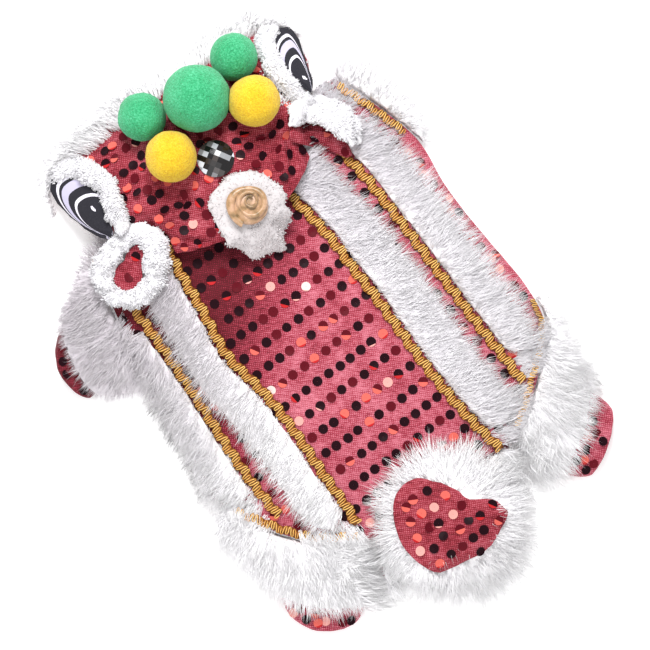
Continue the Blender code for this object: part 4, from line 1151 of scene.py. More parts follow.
@dataclass(frozen=True)
class PilePiece:
    """A piece of fur or plush that stands for one CAD node."""

    node: str
    finish: Finish
    slot: str
    tuft: Tuft
    brush: Brush
    per_area: float
    overhang: float
    lumps: tuple[Pair, ...]
    covers: tuple[str, ...] = ()
    levels: int = 1
    fill: float = 0.3
    margins: tuple[Margin, ...] = ()
    shapers: tuple[object, ...] = ()
    puff: float = 0.0
    sway: float = 0.2

    def build(self, seed: int) -> bpy.types.Object:
        """Refine the node, brush it and grow its pile.

        Args:
            seed: Chooses its tufts.

        Returns:
            The finished piece.
        """
        piece = refined(self.node, self.levels, self.finish)
        reshaped(piece, self.shapers)
        moved(piece.data, places(piece.data) + normals(piece.data) * self.puff)
        rippled(piece, self.lumps, seed)
        mesh = piece.data
        points, facing = places(mesh), normals(mesh)
        comb = self.brush.directions(points, facing)
        kept(mesh, "comb", comb)
        kept(mesh, "reach", self.reach(points, comb) * uneven(points, 0.4, 6, seed))
        kept(mesh, "pile", self.bare(points, facing))
        kept(mesh, "along", np.full(len(points), SKIN_ALONG))
        kept(mesh, "tone", np.full(len(points), SKIN_TONE))
        self.grow(piece, self.per_area, seed, 0, keep_base=True)
        for margin in self.margins:
            strip = margin.base(seed, self.finish)
            self.grow(strip, margin.per_area, seed, MARGIN_SEED)
            with bpy.context.temp_override(active_object=piece, selected_editable_objects=[piece, strip]):
                bpy.ops.object.join()
        grown = places(piece.data)
        floor = max(FLOOR_GAP, points[:, 2].min() - SINK)
        grown[:, 2] = np.maximum(grown[:, 2], floor)
        moved(piece.data, grown)
        settle(piece, self.slot, self.node)
        return piece

    def grow(self, base: bpy.types.Object, per_area: float, seed: int, batch: int,
             keep_base: bool = False) -> None:
        """Strew this piece's tufts over a base.

        Args:
            base: The piece's own skin, or a margin's.
            per_area: How many tufts stand on a square millimetre.
            seed: Chooses their places and, with the batch, their hairs.
            batch: Sets the margins' tufts apart from the piece's own.
            keep_base: Whether the base stays under the tufts.
        """
        first = seed * SEEDS_A_PIECE + batch
        tufts = [self.tuft.mesh(first + index) for index in range(TUFT_KINDS)]
        placing = Placing(True, self.sway, SIZE_SPREAD, per_area, seed, keep_base)
        placing.apply(base, tufts, self.finish)

    def reach(self, points: Points, comb: Points) -> Points:
        """How much of its length each hair keeps, so that tips stop a little past the piece's own edge."""
        edge = places(frame["nodes"][self.node].data)
        left = np.zeros(len(points))
        for index, (point, ahead) in enumerate(zip(points[:, :2], comb[:, :2])):
            away = edge[:, :2] - point
            forward = away @ ahead
            beside = np.abs(away[:, 0] * ahead[1] - away[:, 1] * ahead[0])
            near = forward[beside < BESIDE]
            left[index] = max(0.0, near.max()) if len(near) else 0.0
        return np.clip((left + self.overhang) / (self.tuft.length - self.tuft.back), SHORTEST, 1.0)

    def bare(self, points: Points, facing: Points) -> Points:
        """1 where pile grows, 0 on the underside and where another piece lies close above."""
        grows = (facing[:, 2] > TURNS_UNDER).astype(float)
        if self.covers:
            tree = tree_of(self.covers)
            clear = min(self.tuft.length * 0.45, CLOSE_ABOVE)
            for index, point in enumerate(points):
                if tree.ray_cast(Vector(point) + UP * 0.2, UP, clear)[0] is not None:
                    grows[index] = 0.0
        return grows


def fur(node: str, brush: Brush, tuft: Tuft = LONG_FUR, per_area: float = 0.148, overhang: float = 6.5,
        covers: tuple[str, ...] = (), fill: float = 0.3, margins: tuple[Margin, ...] = (),
        finish: Finish = Finish.FUR) -> PilePiece:
    """A piece of long fur."""
    return PilePiece(node, finish, "white_fur", tuft, brush, per_area, overhang, ((7, 0.7), (3, 0.3)), covers,
                     fill=fill, margins=margins)


def plush(node: str, brush: Brush, nap: Tuft = PLUSH_NAP, lumps: tuple[Pair, ...] = ((6.0, 2.2), (2.6, 1.3)),
          finish: Finish = Finish.PLUSH, **shape: object) -> PilePiece:
    """A piece of short sherpa plush."""
    return PilePiece(node, finish, "white_plush", nap, brush, 0.45, 1.2, lumps, levels=2, fill=0.8, sway=0.4,
                     **shape)


EAR_MIDDLE = (-61.5, 93.5)
EAR_SOLID = ((11.0, 9.5), (25.0, 20.5))
EAR_PART = (30, (30, 120), 7.46)
EAR_INNER = Traced((
    (600, 1170), (650, 1090), (700, 1050), (740, 960), (820, 905), (850, 995), (825, 1060), (835, 1130),
    (820, 1220), (770, 1265), (690, 1290), (650, 1260), (610, 1200)), *EAR_PART).radii(EAR_MIDDLE, 18)
EAR_OUTER = Traced((
    (430, 1170), (455, 1060), (500, 960), (600, 860), (680, 790), (750, 740), (830, 720), (920, 750),
    (1010, 800), (1050, 880), (1060, 960), (1040, 1050), (1045, 1130), (1020, 1200), (940, 1330), (850, 1400),
    (750, 1425), (660, 1400), (590, 1390), (530, 1310), (480, 1220)), *EAR_PART).radii(EAR_MIDDLE, 18)


@dataclass(frozen=True)
class EarRing:
    """Draws the solid left ear out to the plush ear's uneven ring and its opening's drawn-out tip."""

    inner_share: float = 1.0

    def applied(self, points: Points) -> Points:
        """The points, drawn out."""
        away, size, angle = seen_from(points, EAR_MIDDLE)
        way = away / (size[:, None] + TINY)
        inner, outer = (1 / np.hypot(way[:, 0] / axes[0], way[:, 1] / axes[1]) for axes in EAR_SOLID)
        new_inner, new_outer = radius_at(angle, EAR_INNER) * self.inner_share, radius_at(angle, EAR_OUTER)
        share = (size - inner) / (outer - inner)
        reach = np.where(share < 0, size / inner * new_inner, new_inner + share * (new_outer - new_inner))
        return np.column_stack((way * reach[:, None] + np.array(EAR_MIDDLE), points[:, 2]))


FLAP_LOWER = Traced(
    ((283, 140), (289, 146), (303, 151), (325, 154), (340, 158), (350, 160)), 30, digits=1).line()
FLAP_UPPER = ((59.0, 108.1), (67.0, 106.3), (76.0, 99.8), (83.0, 90.0), (84.8, 81.2), (82.8, 71.3))
CRESCENT_LOWER = ((57.5, 108.5), (64.0, 106.8), (71.5, 102.8), (78.5, 96.0), (83.5, 88.0), (85.0, 81.0),
                  (83.5, 71.5))
CRESCENT_UPPER = ((68.0, 119.5), (77.5, 119.5), (86.5, 114.0), (93.0, 105.0), (97.0, 95.5), (97.5, 85.0),
                  (93.5, 71.5))
NOSE_MIDDLE = (15.4, 76.0)
NOSE_RADII = Traced((
    (600, 135), (720, 165), (830, 215), (920, 265), (1010, 350), (985, 400), (1045, 440), (1035, 490),
    (1000, 520), (1060, 560), (1110, 620), (1100, 700), (1060, 780), (1000, 840), (985, 900), (975, 930),
    (1030, 950), (1060, 1010), (1095, 1050), (1070, 1085), (960, 1090), (850, 1110), (760, 1160), (690, 1195),
    (600, 1190), (500, 1185), (490, 1140), (540, 1100), (470, 1070), (390, 1080), (340, 1040), (330, 980),
    (260, 890), (190, 780), (150, 650), (105, 560), (95, 480), (150, 420), (180, 360), (280, 270), (370, 200),
    (480, 150)), 36, (200, 160), 12.06).radii(NOSE_MIDDLE, 30)
TAIL_MIDDLE = (3.0, -133.0)
TAIL_RADII = Traced((
    (393, 507), (396, 495), (408, 480), (413, 477), (430, 481), (447, 486), (463, 495), (470, 500),
    (480, 500), (495, 499), (505, 502), (509, 510), (505, 525), (497, 540), (483, 553), (468, 560),
    (455, 567), (440, 574), (425, 568), (410, 555), (402, 545), (396, 530)),
    36, digits=1).radii(TAIL_MIDDLE, 24)


def both(*names: str) -> tuple[str, ...]:
    """Each name, for its left and its right piece."""
    return tuple(f"{name}_{side}" for name in names for side in ("left", "right"))


UNDER_FLAP = ("hat_shell", "inner_fur_right", "inner_braid_right", "back_cloth", "outer_braid_right",
              "outer_fur_right", "hem_braid_front_right")
HAT_COVERS = ("hat_shell", *both("ear_plush", "ear"), "nose_patch", "eyelid_plush_left", "eye_left")
FUR_PIECES = (
    fur("inner_fur_left", lying(-1, -0.35, 0.3), SHORT_FUR, overhang=7, covers=HAT_COVERS,
        margins=(Margin("back_cloth", (-66, -119), (-44, -98), lying(-0.3, -1), 0.8, 0.3),)),
    fur("inner_fur_right", lying(1, -0.3, 0.3), SHORT_FUR, overhang=7, covers=HAT_COVERS,
        finish=Finish.SIDE_FUR,
        margins=(Margin("back_cloth", (55, -119), (84, -94), lying(1, -0.3), 0.8, 0.3),)),
    fur("outer_fur_left", lying(-1, -0.3, 0.3), overhang=11, covers=HAT_COVERS,
        margins=(Margin("back_cloth", (-130, -76), (-81, 80), lying(-1, -0.4), 0.9, 0.2),)),
    fur("outer_fur_right", lying(1, -0.2, 0.35), overhang=10, covers=HAT_COVERS, finish=Finish.SIDE_FUR,
        margins=(Margin("back_cloth", (82, 94), (108, 122), lying(1, 0.1), 0.7),
                 Margin("back_cloth", (88, -96), (116, -77), lying(1, -0.2), 0.8, 0.3),
                 Margin("hem_braid_rear_right", (99, -97), (119, -74), lying(1, -0.3), 0.5, 0.35),
                 Margin("hem_braid_rear_right", (60, -120), (82, -103), lying(0.8, -0.6), 0.5, 0.35))),
    fur("rump_fur", lying(0.05, -1), overhang=9, covers=("tail_fur",),
        margins=(Margin("rump_fur", (42, -132), (62, -98), lying(0.7, -1), 0.9, 0.25),)),
    fur("front_left_sleeve", fanned(-40, 76), overhang=1.0, covers=HAT_COVERS,
        margins=(Margin("back_cloth", (-125, 94), (-57, 130), lying(-0.35, 1), 0.8, 0.22),)),
    fur("front_right_sleeve", fanned(66, 76), covers=HAT_COVERS, finish=Finish.CREST),
    fur("rear_left_sleeve", fanned(-48, -40), overhang=3.5,
        margins=(Margin("rear_left_sleeve", (-72, -152), (-42, -110), lying(1, -0.5), 1.15, 0.22),
                 Margin("hem_braid_rear_left", (-78, -120), (-38, -92), lying(-0.15, -1), 0.7, 0.3),
                 Margin("hem_braid_rear_left", (-106, -75), (-95, -50), lying(-0.6, -1), 0.7, 0.3))),
    fur("rear_right_sleeve", fanned(68, -36), overhang=6,
        margins=(Margin("rear_right_sleeve", (58, -138), (82, -106), lying(-0.8, -0.7), 1.0, 0.22),)),
    fur("hat_back_fur", fanned(10, 132), CREST_FUR, 0.165, overhang=4.0, finish=Finish.CREST,
        margins=(Margin("hat_shell", (-90, 164.5), (110, 190), fanned(10, 120), 1.05, 0.2),
                 Margin("hat_shell", (92.5, 112), (110, 165.5), lying(1, 0.1), 0.5, 0.3))),
    fur("tail_fur", fanned(3, -134), overhang=11, covers=("tail_patch",), fill=0.5),
)
PLUSH_PIECES = (
    plush("ear_plush_left", fanned(-61.5, 93.5, 0.8), shapers=(EarRing(0.93),)),
    plush("ear_plush_right", fanned(78, 92, 0.8), puff=0.6, margins=(
        Margin("hat_shell", (68, 106), (100, 127), fanned(60, 115), 1.0, 0.7),
        Margin("back_cloth", (74, 98), (95, 122), fanned(60, 100), 1.0, 0.7)),
        shapers=(Bend((82, 113), (95.5, 80.5), None, CRESCENT_LOWER, CRESCENT_UPPER,
                      UNDER_FLAP + ("ear_right",)),)),
    plush("eyelid_plush_left", fanned(-40, 140, 0.8), shapers=(Nudge(-52, 122, 20, -2.5, -5.5),), puff=2.4),
    plush("eyelid_plush_right", fanned(68, 140, 0.8), puff=1.8, shapers=(Nudge(84, 148, 26, 1.8, 0),)),
    plush("nose_patch", fanned(15.4, 80, 0.8), finish=Finish.MUZZLE,
          shapers=(Outline(NOSE_MIDDLE, NOSE_RADII),),
          nap=FELT_NAP, lumps=((9, 0.9), (3, 0.4))),
)


# Sequins


class SequinLook(Enum):
    """A sequin's painted reflection: the shade painted on its face, the painted highlight on one edge, and
    where that edge starts.
    """

    BLACK = (0.0, 0.0, 9.0)
    WINE = (0.25, 0.25, 9.0)
    RIMMED = (0.08, 0.75, 1.9)
    HALVED = (0.25, 0.55, 0.2)
    TIPPED = (0.0, 0.4, 1.0)
    CORAL = (0.55, 0.4, 1.6)
    SALMON = (0.7, 0.7, 9.0)
    BRIGHT = (0.9, 0.7, 2.1)


@dataclass(frozen=True)
class Sequin:
    """A cupped foil disc with a sewing hole, in millimetres."""

    radius: float = 2.92
    hole: float = 0.16
    cup: float = 0.18
    thick: float = 0.14
    lift: float = 0.3
    sides: int = 12

    def mesh(self, look: SequinLook) -> bpy.types.Mesh:
        """One sequin, whose faces keep their painted reflection."""
        work = bmesh.new()
        edge = self.lift + self.cup
        outline = ((self.hole, self.lift), (self.radius, edge), (self.radius, edge - self.thick),
                   (self.hole, self.lift - self.thick))
        rings = []
        for radius, height in outline:
            ring = []
            for side in range(self.sides):
                turn = side * math.tau / self.sides
                spot = (radius * math.cos(turn) * MM, radius * math.sin(turn) * MM, height * MM)
                ring.append(work.verts.new(spot))
            rings.append(ring)
        for lower, upper in zip(rings, rings[1:] + rings[:1]):
            for side in range(self.sides):
                after = (side + 1) % self.sides
                work.faces.new((lower[side], upper[side], upper[after], lower[after]))
        bmesh.ops.recalc_face_normals(work, faces=work.faces)
        # Painted reflection: one shade on the face and, past a line, a painted highlight on one edge.
        painted_face_reflection, painted_edge_highlight, painted_highlight_from = look.value
        if painted_highlight_from < self.radius:
            parts = work.verts[:] + work.edges[:] + work.faces[:]
            bmesh.ops.bisect_plane(work, geom=parts, plane_co=(painted_highlight_from * MM, 0, 0), plane_no=(1, 0, 0))
        painted_reflections = [painted_edge_highlight if face.calc_center_median().x > painted_highlight_from * MM else painted_face_reflection
                  for face in work.faces]
        mesh = mesh_from(work, "sequin")
        kept(mesh, "shade", np.array(painted_reflections) + 0.01, "FACE")
        return mesh


# Shares of the painted reflection looks, in the order of the looks above.
PANEL_LOOKS = (0.61, 0.17, 0.03, 0.07, 0.03, 0.05, 0.03, 0.01)
LOOSE_LOOKS = (0.30, 0.22, 0.03, 0.14, 0.08, 0.17, 0.05, 0.01)
DARK_LOOKS = (0.55, 0.25, 0.02, 0.06, 0.04, 0.05, 0.02, 0.01)
CUFF_LOOKS = (0.14, 0.18, 0.02, 0.10, 0.04, 0.26, 0.22, 0.04)
# Every sequin's painted highlight faces this way, as if lit from one side.
PAINTED_HIGHLIGHT_SIDE = Vector((-0.58, -0.81, 0.0))


@dataclass(frozen=True)
class SequinField:
    """Sequins sewn on one piece: where their rows may lie, how far apart, and how loosely they lie."""

    name: str
    rest_on: str
    x_from: float
    x_to: float
    y_from: float
    y_to: float
    pitch: float
    row: float
    drift: float
    jitter: float
    tilt: float
    looks: tuple[float, ...]
    covers: tuple[str, ...]
    seed: int
    skew: float = 0.0106
    spin: float = 0.35
    steepest: float = 0.25
    ring: float = 2.3
    ring_turns: tuple[float, ...] = (0.8, 2.4, 4.0, 5.5)
    drop: float = 4.5

    def spots(self, chance: np.random.Generator) -> list[Pair]:
        """Where the sequins are sewn, seen from above."""
        found = []
        rows = int((self.y_to - self.y_from) / self.row) + 1
        for row in range(rows):
            y = self.y_from + row * self.row
            x = self.x_from + (row * self.drift) % self.pitch
            while x <= self.x_to:
                aside, ahead = chance.normal(0, self.jitter), chance.normal(0, self.jitter)
                found.append((x + aside, y + self.skew * x + ahead))
                x += self.pitch
        return found

    def build(self, cloth: bpy.types.Object) -> bpy.types.Object | None:
        """Sew the sequins on.

        Args:
            cloth: The dressed piece under them.

        Returns:
            The sequins, as one piece, or None where every place is covered.
        """
        chance = np.random.default_rng(self.seed)
        ground, above = tree_of_piece(cloth), tree_of(self.covers)
        sewn, ups, ahead, kinds = [], [], [], []
        for x, y in self.spots(chance):
            spot, facing = under(ground, x, y)
            cover = under(above, x, y)[0]
            if spot is None or facing.z < self.steepest or (cover is not None and cover.z > spot.z):
                continue
            around = [under(ground, x + self.ring * math.cos(turn), y + self.ring * math.sin(turn))[0]
                      for turn in self.ring_turns]
            if any(near is None or near.z < spot.z - self.drop for near in around):
                continue
            highest = max(near.z for near in around)
            spot = spot + facing * max(0.0, 0.5 * highest - 0.5 * spot.z)
            lean = Vector((chance.normal(0, self.tilt), chance.normal(0, self.tilt), 0))
            turn = Matrix.Rotation(chance.normal(0, self.spin), 3, "Z")
            sewn.append(tuple(spot))
            ups.append(tuple((facing + lean).normalized()))
            ahead.append(tuple(turn @ PAINTED_HIGHLIGHT_SIDE))
            kinds.append(int(chance.choice(len(self.looks), p=np.array(self.looks) / sum(self.looks))))
        if not sewn:
            return None
        mesh = bpy.data.meshes.new(self.name)
        mesh.from_pydata([tuple(part * MM for part in spot) for spot in sewn], [], [])
        facing_up, comb = np.array(ups), np.array(ahead)
        comb -= facing_up * (comb * facing_up).sum(axis=1)[:, None]
        kept(mesh, "up", facing_up)
        kept(mesh, "comb", comb / np.linalg.norm(comb, axis=1)[:, None])
        kept(mesh, "reach", np.ones(len(sewn)))
        kept(mesh, "kind", np.array(kinds))
        piece = linked(self.name, mesh, Finish.SEQUIN)
        sequins = [Sequin().mesh(look) for look in SequinLook]
        Placing(False, 0.05, 0.04, seed=self.seed).apply(piece, sequins, Finish.SEQUIN)
        return settle(piece, "red_sequin")


# Braid


@dataclass(frozen=True)
class Section:
    """One section through a braid, in millimetres."""

    middle: Vector
    across: Vector


def sections(node: str, step: float) -> list[Section]:
    """Sections through a long CAD piece, square to its length, from one end to the other."""
    work = merged(node)
    points = np.array([vertex.co / MM for vertex in work.verts])
    centre = points.mean(axis=0)
    length_way = np.linalg.svd(points - centre)[2][0]
    length_way = length_way * -np.sign(length_way[1])
    along = (points - centre) @ length_way
    edges = [(edge.verts[0].index, edge.verts[1].index) for edge in work.edges]
    work.free()
    found = []
    for place in np.arange(along.min() + 1.2, along.max() - 1.2, step):
        cut = []
        for first, second in edges:
            before, after = along[first] - place, along[second] - place
            if before * after < 0:
                cut.append(points[first] + (points[second] - points[first]) * before / (before - after))
        cut = np.array(cut)
        centred = cut - cut.mean(axis=0)
        across = np.linalg.svd(centred)[2][0]
        across = across if across @ np.array([1.0, 0.31, 0]) > 0 else -across
        reach = centred @ across
        middle = cut.mean(axis=0) + across * (reach.max() + reach.min()) / 2
        found.append(Section(Vector(middle), Vector(across)))
    return found


@dataclass(frozen=True)
class Gimp:
    """Scalloped gold gimp: a fine wire wound back and forth over a flat core, in millimetres."""

    period: float = 3.0
    swing: float = 3.0
    scallop: float = 10.5
    bulge: float = 0.8
    fan: float = 0.16
    wire: float = 0.42
    samples: int = 10
    lift: float = 0.55
    arch: float = 0.4
    core: Pair = (0.95, 0.6)
    smoothed_over: int = 7
    step: float = 1.0
    climb: float = 0.1

    def build(self, node: str, seed: int, past: float, narrow: float) -> bpy.types.Object:
        """Wind the gimp along one CAD braid.

        Args:
            node: The braid's node.
            seed: Shifts where its turns start.
            past: How far it runs on past the node's tail end.
            narrow: Its share of the full width.

        Returns:
            The finished braid.
        """
        middles, across = self.path(node, past)
        run = np.concatenate(([0], np.cumsum(np.linalg.norm(np.diff(middles, axis=0), axis=1))))
        spots = np.arange(1.0, run[-1] - 1.0, self.period / self.samples)

        def laid(columns: Points, where: Points) -> Points:
            """The columns read off at distances along the braid."""
            return np.stack([np.interp(where, run, columns[:, axis]) for axis in range(3)], axis=1)

        middle, side = laid(middles, spots), laid(across, spots)
        up = np.cross(np.gradient(middle, axis=0), side)
        up *= np.sign(up[:, 2])[:, None]
        up /= np.linalg.norm(up, axis=1)[:, None]
        work = bmesh.new()
        tone = work.verts.layers.float.new("tone")
        phase = spots * math.tau / self.period
        wave = spots * math.tau / self.scallop + seed
        swung = self.swing * (1 + 0.1 * np.cos(2 * wave)) * np.sin(phase)
        aside = narrow * (swung + self.bulge * np.sin(wave))
        along = spots - self.period / (4 * math.pi) * np.sin(2 * phase) + self.fan * aside * np.cos(wave)
        crown = np.abs(np.cos(phase))
        line = laid(middles, along) + side * aside[:, None] + up * (self.lift + self.arch * crown)[:, None]
        # Painted light: each wire is painted lighter on its crown, and lighter and darker in turn along each
        # scallop.
        painted_crown_light = 0.45 + 0.55 * crown + 0.2 * np.sin(wave)
        self.add_tube(work, line, up, np.full((len(line), 2), self.wire), painted_crown_light, tone, 3)
        middle, up, side, wave = middle[::4], up[::4], side[::4], wave[::4]
        wide = np.tile(np.array([self.swing * self.core[0] * narrow, self.core[1]]), (len(middle), 1))
        core = middle - up * 0.2 + side * (narrow * self.bulge * np.sin(wave))[:, None]
        # Painted shade: the core's low tone paints it dark, as shade between the wires.
        self.add_tube(work, core, up, wide, np.full(len(wide), -1.0), tone, 4)
        bmesh.ops.recalc_face_normals(work, faces=work.faces)
        mesh = mesh_from(work, node + "_gimp")
        mesh.shade_smooth()
        return settle(linked(node + "_gimp", mesh, Finish.BRAID), "gold_braid", node)

    def path(self, node: str, past: float) -> tuple[Points, Points]:
        """The braid's course, smoothed and run on past its tail end.

        Args:
            node: The braid's node.
            past: How far it runs on.

        Returns:
            Its middles, a step or so apart, and the directions across it there.
        """
        spine = sections(node, self.step)
        middles = np.array([section.middle for section in spine])
        across = np.array([section.across for section in spine])
        smooth = np.ones(self.smoothed_over) / self.smoothed_over
        for columns in (middles, across):
            for axis in range(3):
                padded = np.pad(columns[:, axis], self.smoothed_over // 2, mode="edge")
                columns[:, axis] = np.convolve(padded, smooth, "valid")
        middles, across = middles[2:-2], across[2:-2]
        ahead = middles[-1] - middles[-8]
        ahead = ahead / np.linalg.norm(ahead)
        steps = np.arange(self.step, past, self.step)[:, None]
        middles = np.vstack((middles, middles[-1] + ahead * steps + np.array([0, 0, self.climb]) * steps))
        across = np.vstack((across, np.tile(across[-1], (len(steps), 1))))
        return middles, across

    def add_tube(self, work: bmesh.types.BMesh, line: Points, up: Points, half: Points, tones: Points,
                 layer: bmesh.types.BMLayerItem, sides: int) -> None:
        """Add one closed tube along a line.

        Args:
            work: The mesh that grows.
            line: The tube's middle, in millimetres.
            up: The braid's upward direction at each place.
            half: The tube's half width and half height at each place.
            tones: The painted light and shade at each place.
            layer: Where the tones are kept.
            sides: How many sides the tube has.
        """
        ahead = np.gradient(line, axis=0)
        beside = np.cross(ahead, up)
        beside /= np.linalg.norm(beside, axis=1)[:, None] + TINY
        above = np.cross(beside, ahead)
        above /= np.linalg.norm(above, axis=1)[:, None] + TINY
        rings = []
        for index in range(len(line)):
            ring = []
            for corner in range(sides):
                turn = corner * math.tau / sides + math.pi / 2 * (sides == 3)
                out = beside[index] * math.cos(turn) * half[index, 0]
                raised = above[index] * math.sin(turn) * half[index, 1]
                vertex = work.verts.new(tuple((line[index] + out + raised) * MM))
                vertex[layer] = tones[index]
                ring.append(vertex)
            rings.append(ring)
        work.faces.new(rings[0])
        work.faces.new(rings[-1][::-1])
        for first, second in zip(rings, rings[1:]):
            for corner in range(sides):
                after = (corner + 1) % sides
                work.faces.new((first[corner], first[after], second[after], second[corner]))


BRAIDS = {"inner_braid_left": (10.0, 1.0), "inner_braid_right": (15.0, 1.0), "outer_braid_left": (8.0, 1.0),
          "outer_braid_right": (9.0, 1.0), "hem_braid_rear_left": (0.0, 0.85),
          "hem_braid_rear_right": (0.0, 0.62), "hem_braid_front_right": (0.0, 0.85)}


# Cloth


@dataclass(frozen=True)
class ClothPiece:
    """A sheet of red cloth that stands for one CAD node, with the size it was cut to in millimetres."""

    node: str
    slot: str
    cut: Pair
    held: str
    rests_on: tuple[str, ...]
    ripples: tuple[Pair, ...]
    levels: int = 2
    finish: Finish = Finish.CLOTH
    shapers: tuple[object, ...] = ()

    def build(self, seed: int) -> bpy.types.Object:
        """Refine the node and wrinkle it."""
        piece = refined(self.node, self.levels, self.finish)
        reshaped(piece, self.shapers)
        rippled(piece, self.ripples, seed)
        points = places(piece.data)
        moved(piece.data, np.maximum(points, (-1e3, -1e3, 0.1)))
        return settle(piece, self.slot, self.node)

    def declare(self, piece: bpy.types.Object, with_pieces: list[bpy.types.Object]) -> None:
        """Does nothing: the sheet's cut size and area are not stated."""


def cuff(leg: str, around: float, deep: float, *shapers: Nudge) -> ClothPiece:
    """The gathered cuff at the end of one sleeve, by the cloth's cut size."""
    return ClothPiece(leg + "_cuff", "red_sequin", (around, deep), "gathered", (leg + "_sleeve",),
                      ((9, 0.5), (4, 0.25)), shapers=shapers)


CLOTHS = (
    ClothPiece("back_cloth", "red_cloth", (275, 240), "draped", ("belly_cloth",), ((22, 0.45), (7, 0.22))),
    ClothPiece("belly_cloth", "red_cloth", (230, 270), "laid", (), ((30, 0.1),), levels=1),
    ClothPiece("hat_shell", "red_sequin", (190, 130), "gathered", ("back_cloth",),
               ((19, 1.5), (8, 0.9), (3.5, 0.2)), levels=3, finish=Finish.HAT_CLOTH, shapers=(
                   Nudge(-81, 144, 34, 5.0, 0), Crease((57, 104), (30, 118), 2.6, 3.2),
                   Crease((57, 102), (48, 84), 2.4, 3.0), Crease((54, 95), (40, 104), 2.2, 2.2),
                   Crease((-30, 92), (-14, 78), 2.4, 2.4), Crease((-34, 110), (-8, 104), 2.6, 2.2),
                   Crease((-46, 128), (-20, 120), 2.4, 2.0), Crease((-60, 150), (-38, 146), 2.4, 2.0),
                   Crease((26, 106), (44, 100), 2.2, 2.0), Crease((64, 118), (52, 108), 2.2, 2.6),
                   Crease((-4, 112), (-22, 96), 2.2, 1.8))),
    ClothPiece("tail_patch", "red_sequin", (64, 60), "laid", ("tail_fur",), ((14, 0.5), (5, 0.3)),
               finish=Finish.HAT_CLOTH, shapers=(Outline(TAIL_MIDDLE, TAIL_RADII),)),
    ClothPiece("ear_left", "red_sequin", (30, 22), "stretched", ("ear_plush_left",), ((6, 0.3),),
               finish=Finish.HAT_CLOTH, shapers=(EarRing(1.05),)),
    ClothPiece("ear_right", "red_sequin", (18, 48), "laid", ("hat_shell",), ((8, 0.6), (3, 0.2)),
               finish=Finish.HAT_CLOTH,
               shapers=(Bend((72.5, 111), (82, 74.5), (15, 9), FLAP_LOWER, FLAP_UPPER, UNDER_FLAP),)),
    cuff("front_left", 100, 22),
    cuff("front_right", 90, 22),
    cuff("rear_left", 95, 20, Nudge(-70, -148, 24, 5.0, -1.0)),
    cuff("rear_right", 100, 20),
)
HAT_TRIMS = (*both("ear_plush", "ear", "eyelid_plush", "eye", "pompom_green", "pompom_yellow"), "nose_patch",
             "nose_rosette", "forehead_mirror", "hat_back_fur", "pompom_green_centre")
SLEEVES = ("front_left_sleeve", "front_right_sleeve", "rear_left_sleeve", "rear_right_sleeve")
BACK_TRIMS = (*both("inner_braid", "outer_braid", "hem_braid_rear", "inner_fur", "outer_fur", "ear_plush"),
              "hat_shell", "tail_fur", "hem_braid_front_right", "nose_patch", "ear_right", *SLEEVES)


def cuff_field(leg: str, box: tuple[float, ...], tilt: float, looks: tuple[float, ...],
               seed: int) -> SequinField:
    """The sequins of one cuff, inside a box given as x from, x to, y from and y to."""
    return SequinField(leg + "_cuff_sequins", leg + "_cuff", *box, 6.5, 6.8, 2.5, 0.9, tilt, looks,
                       (leg + "_sleeve",), seed)


SEQUIN_FIELDS = (
    SequinField("back_sequins", "back_cloth", -100, 88, -110, 84, 7.95, 12.3, -1.1, 0.3, 0.06, PANEL_LOOKS,
                BACK_TRIMS, 21),
    SequinField("edge_sequins", "back_cloth", 92, 124, -80, 96, 7.0, 9.0, -1.1, 1.0, 0.2, CUFF_LOOKS,
                BACK_TRIMS, 20),
    SequinField("hat_sequins", "hat_shell", -76, 92, 76, 166, 7.6, 8.6, 3.3, 1.3, 0.22, LOOSE_LOOKS,
                HAT_TRIMS, 22),
    SequinField("tail_sequins", "tail_patch", -26, 31, -161, -104, 8.2, 9.6, 2.6, 0.8, 0.12, LOOSE_LOOKS,
                ("nose_rosette",), 23),
    SequinField("ear_left_sequins", "ear_left", -70, -54, 86, 101, 7.5, 7.0, 3.0, 0.8, 0.2, LOOSE_LOOKS,
                ("ear_plush_left",), 24),
    SequinField("ear_right_sequins", "ear_right", 54, 86, 69, 108, 7.5, 7.5, 3.0, 0.8, 0.25, LOOSE_LOOKS,
                ("ear_plush_right",), 25),
    cuff_field("front_left", (-131, -116, 48, 92), 0.15, DARK_LOOKS, 26),
    cuff_field("front_right", (107, 128, 70, 114), 0.25, CUFF_LOOKS, 27),
    cuff_field("rear_left", (-108, -74, -155, -121), 0.25, CUFF_LOOKS, 28),
    cuff_field("rear_right", (78, 111, -167, -131), 0.15, DARK_LOOKS, 29),
)


@dataclass
class Suit:
    """The cloths of the suit and hat with what is sewn on them."""

    cloths: tuple[ClothPiece, ...] = CLOTHS
    fields: tuple[SequinField, ...] = SEQUIN_FIELDS
    gimp: Gimp = Gimp()

    def build(self) -> None:
        """Make the cloths, their sequins and the braids."""
        built = {cloth.node: cloth.build(seed) for seed, cloth in enumerate(self.cloths, 1)}
        sewn: dict[str, list[bpy.types.Object]] = {node: [] for node in built}
        for sequins in self.fields:
            made = sequins.build(built[sequins.rest_on])
            if made is not None:
                sewn[sequins.rest_on].append(made)
        for cloth in self.cloths:
            cloth.declare(built[cloth.node], sewn[cloth.node])
        for seed, (node, (past, narrow)) in enumerate(BRAIDS.items(), 1):
            self.gimp.build(node, seed, past, narrow)


# The hat's face


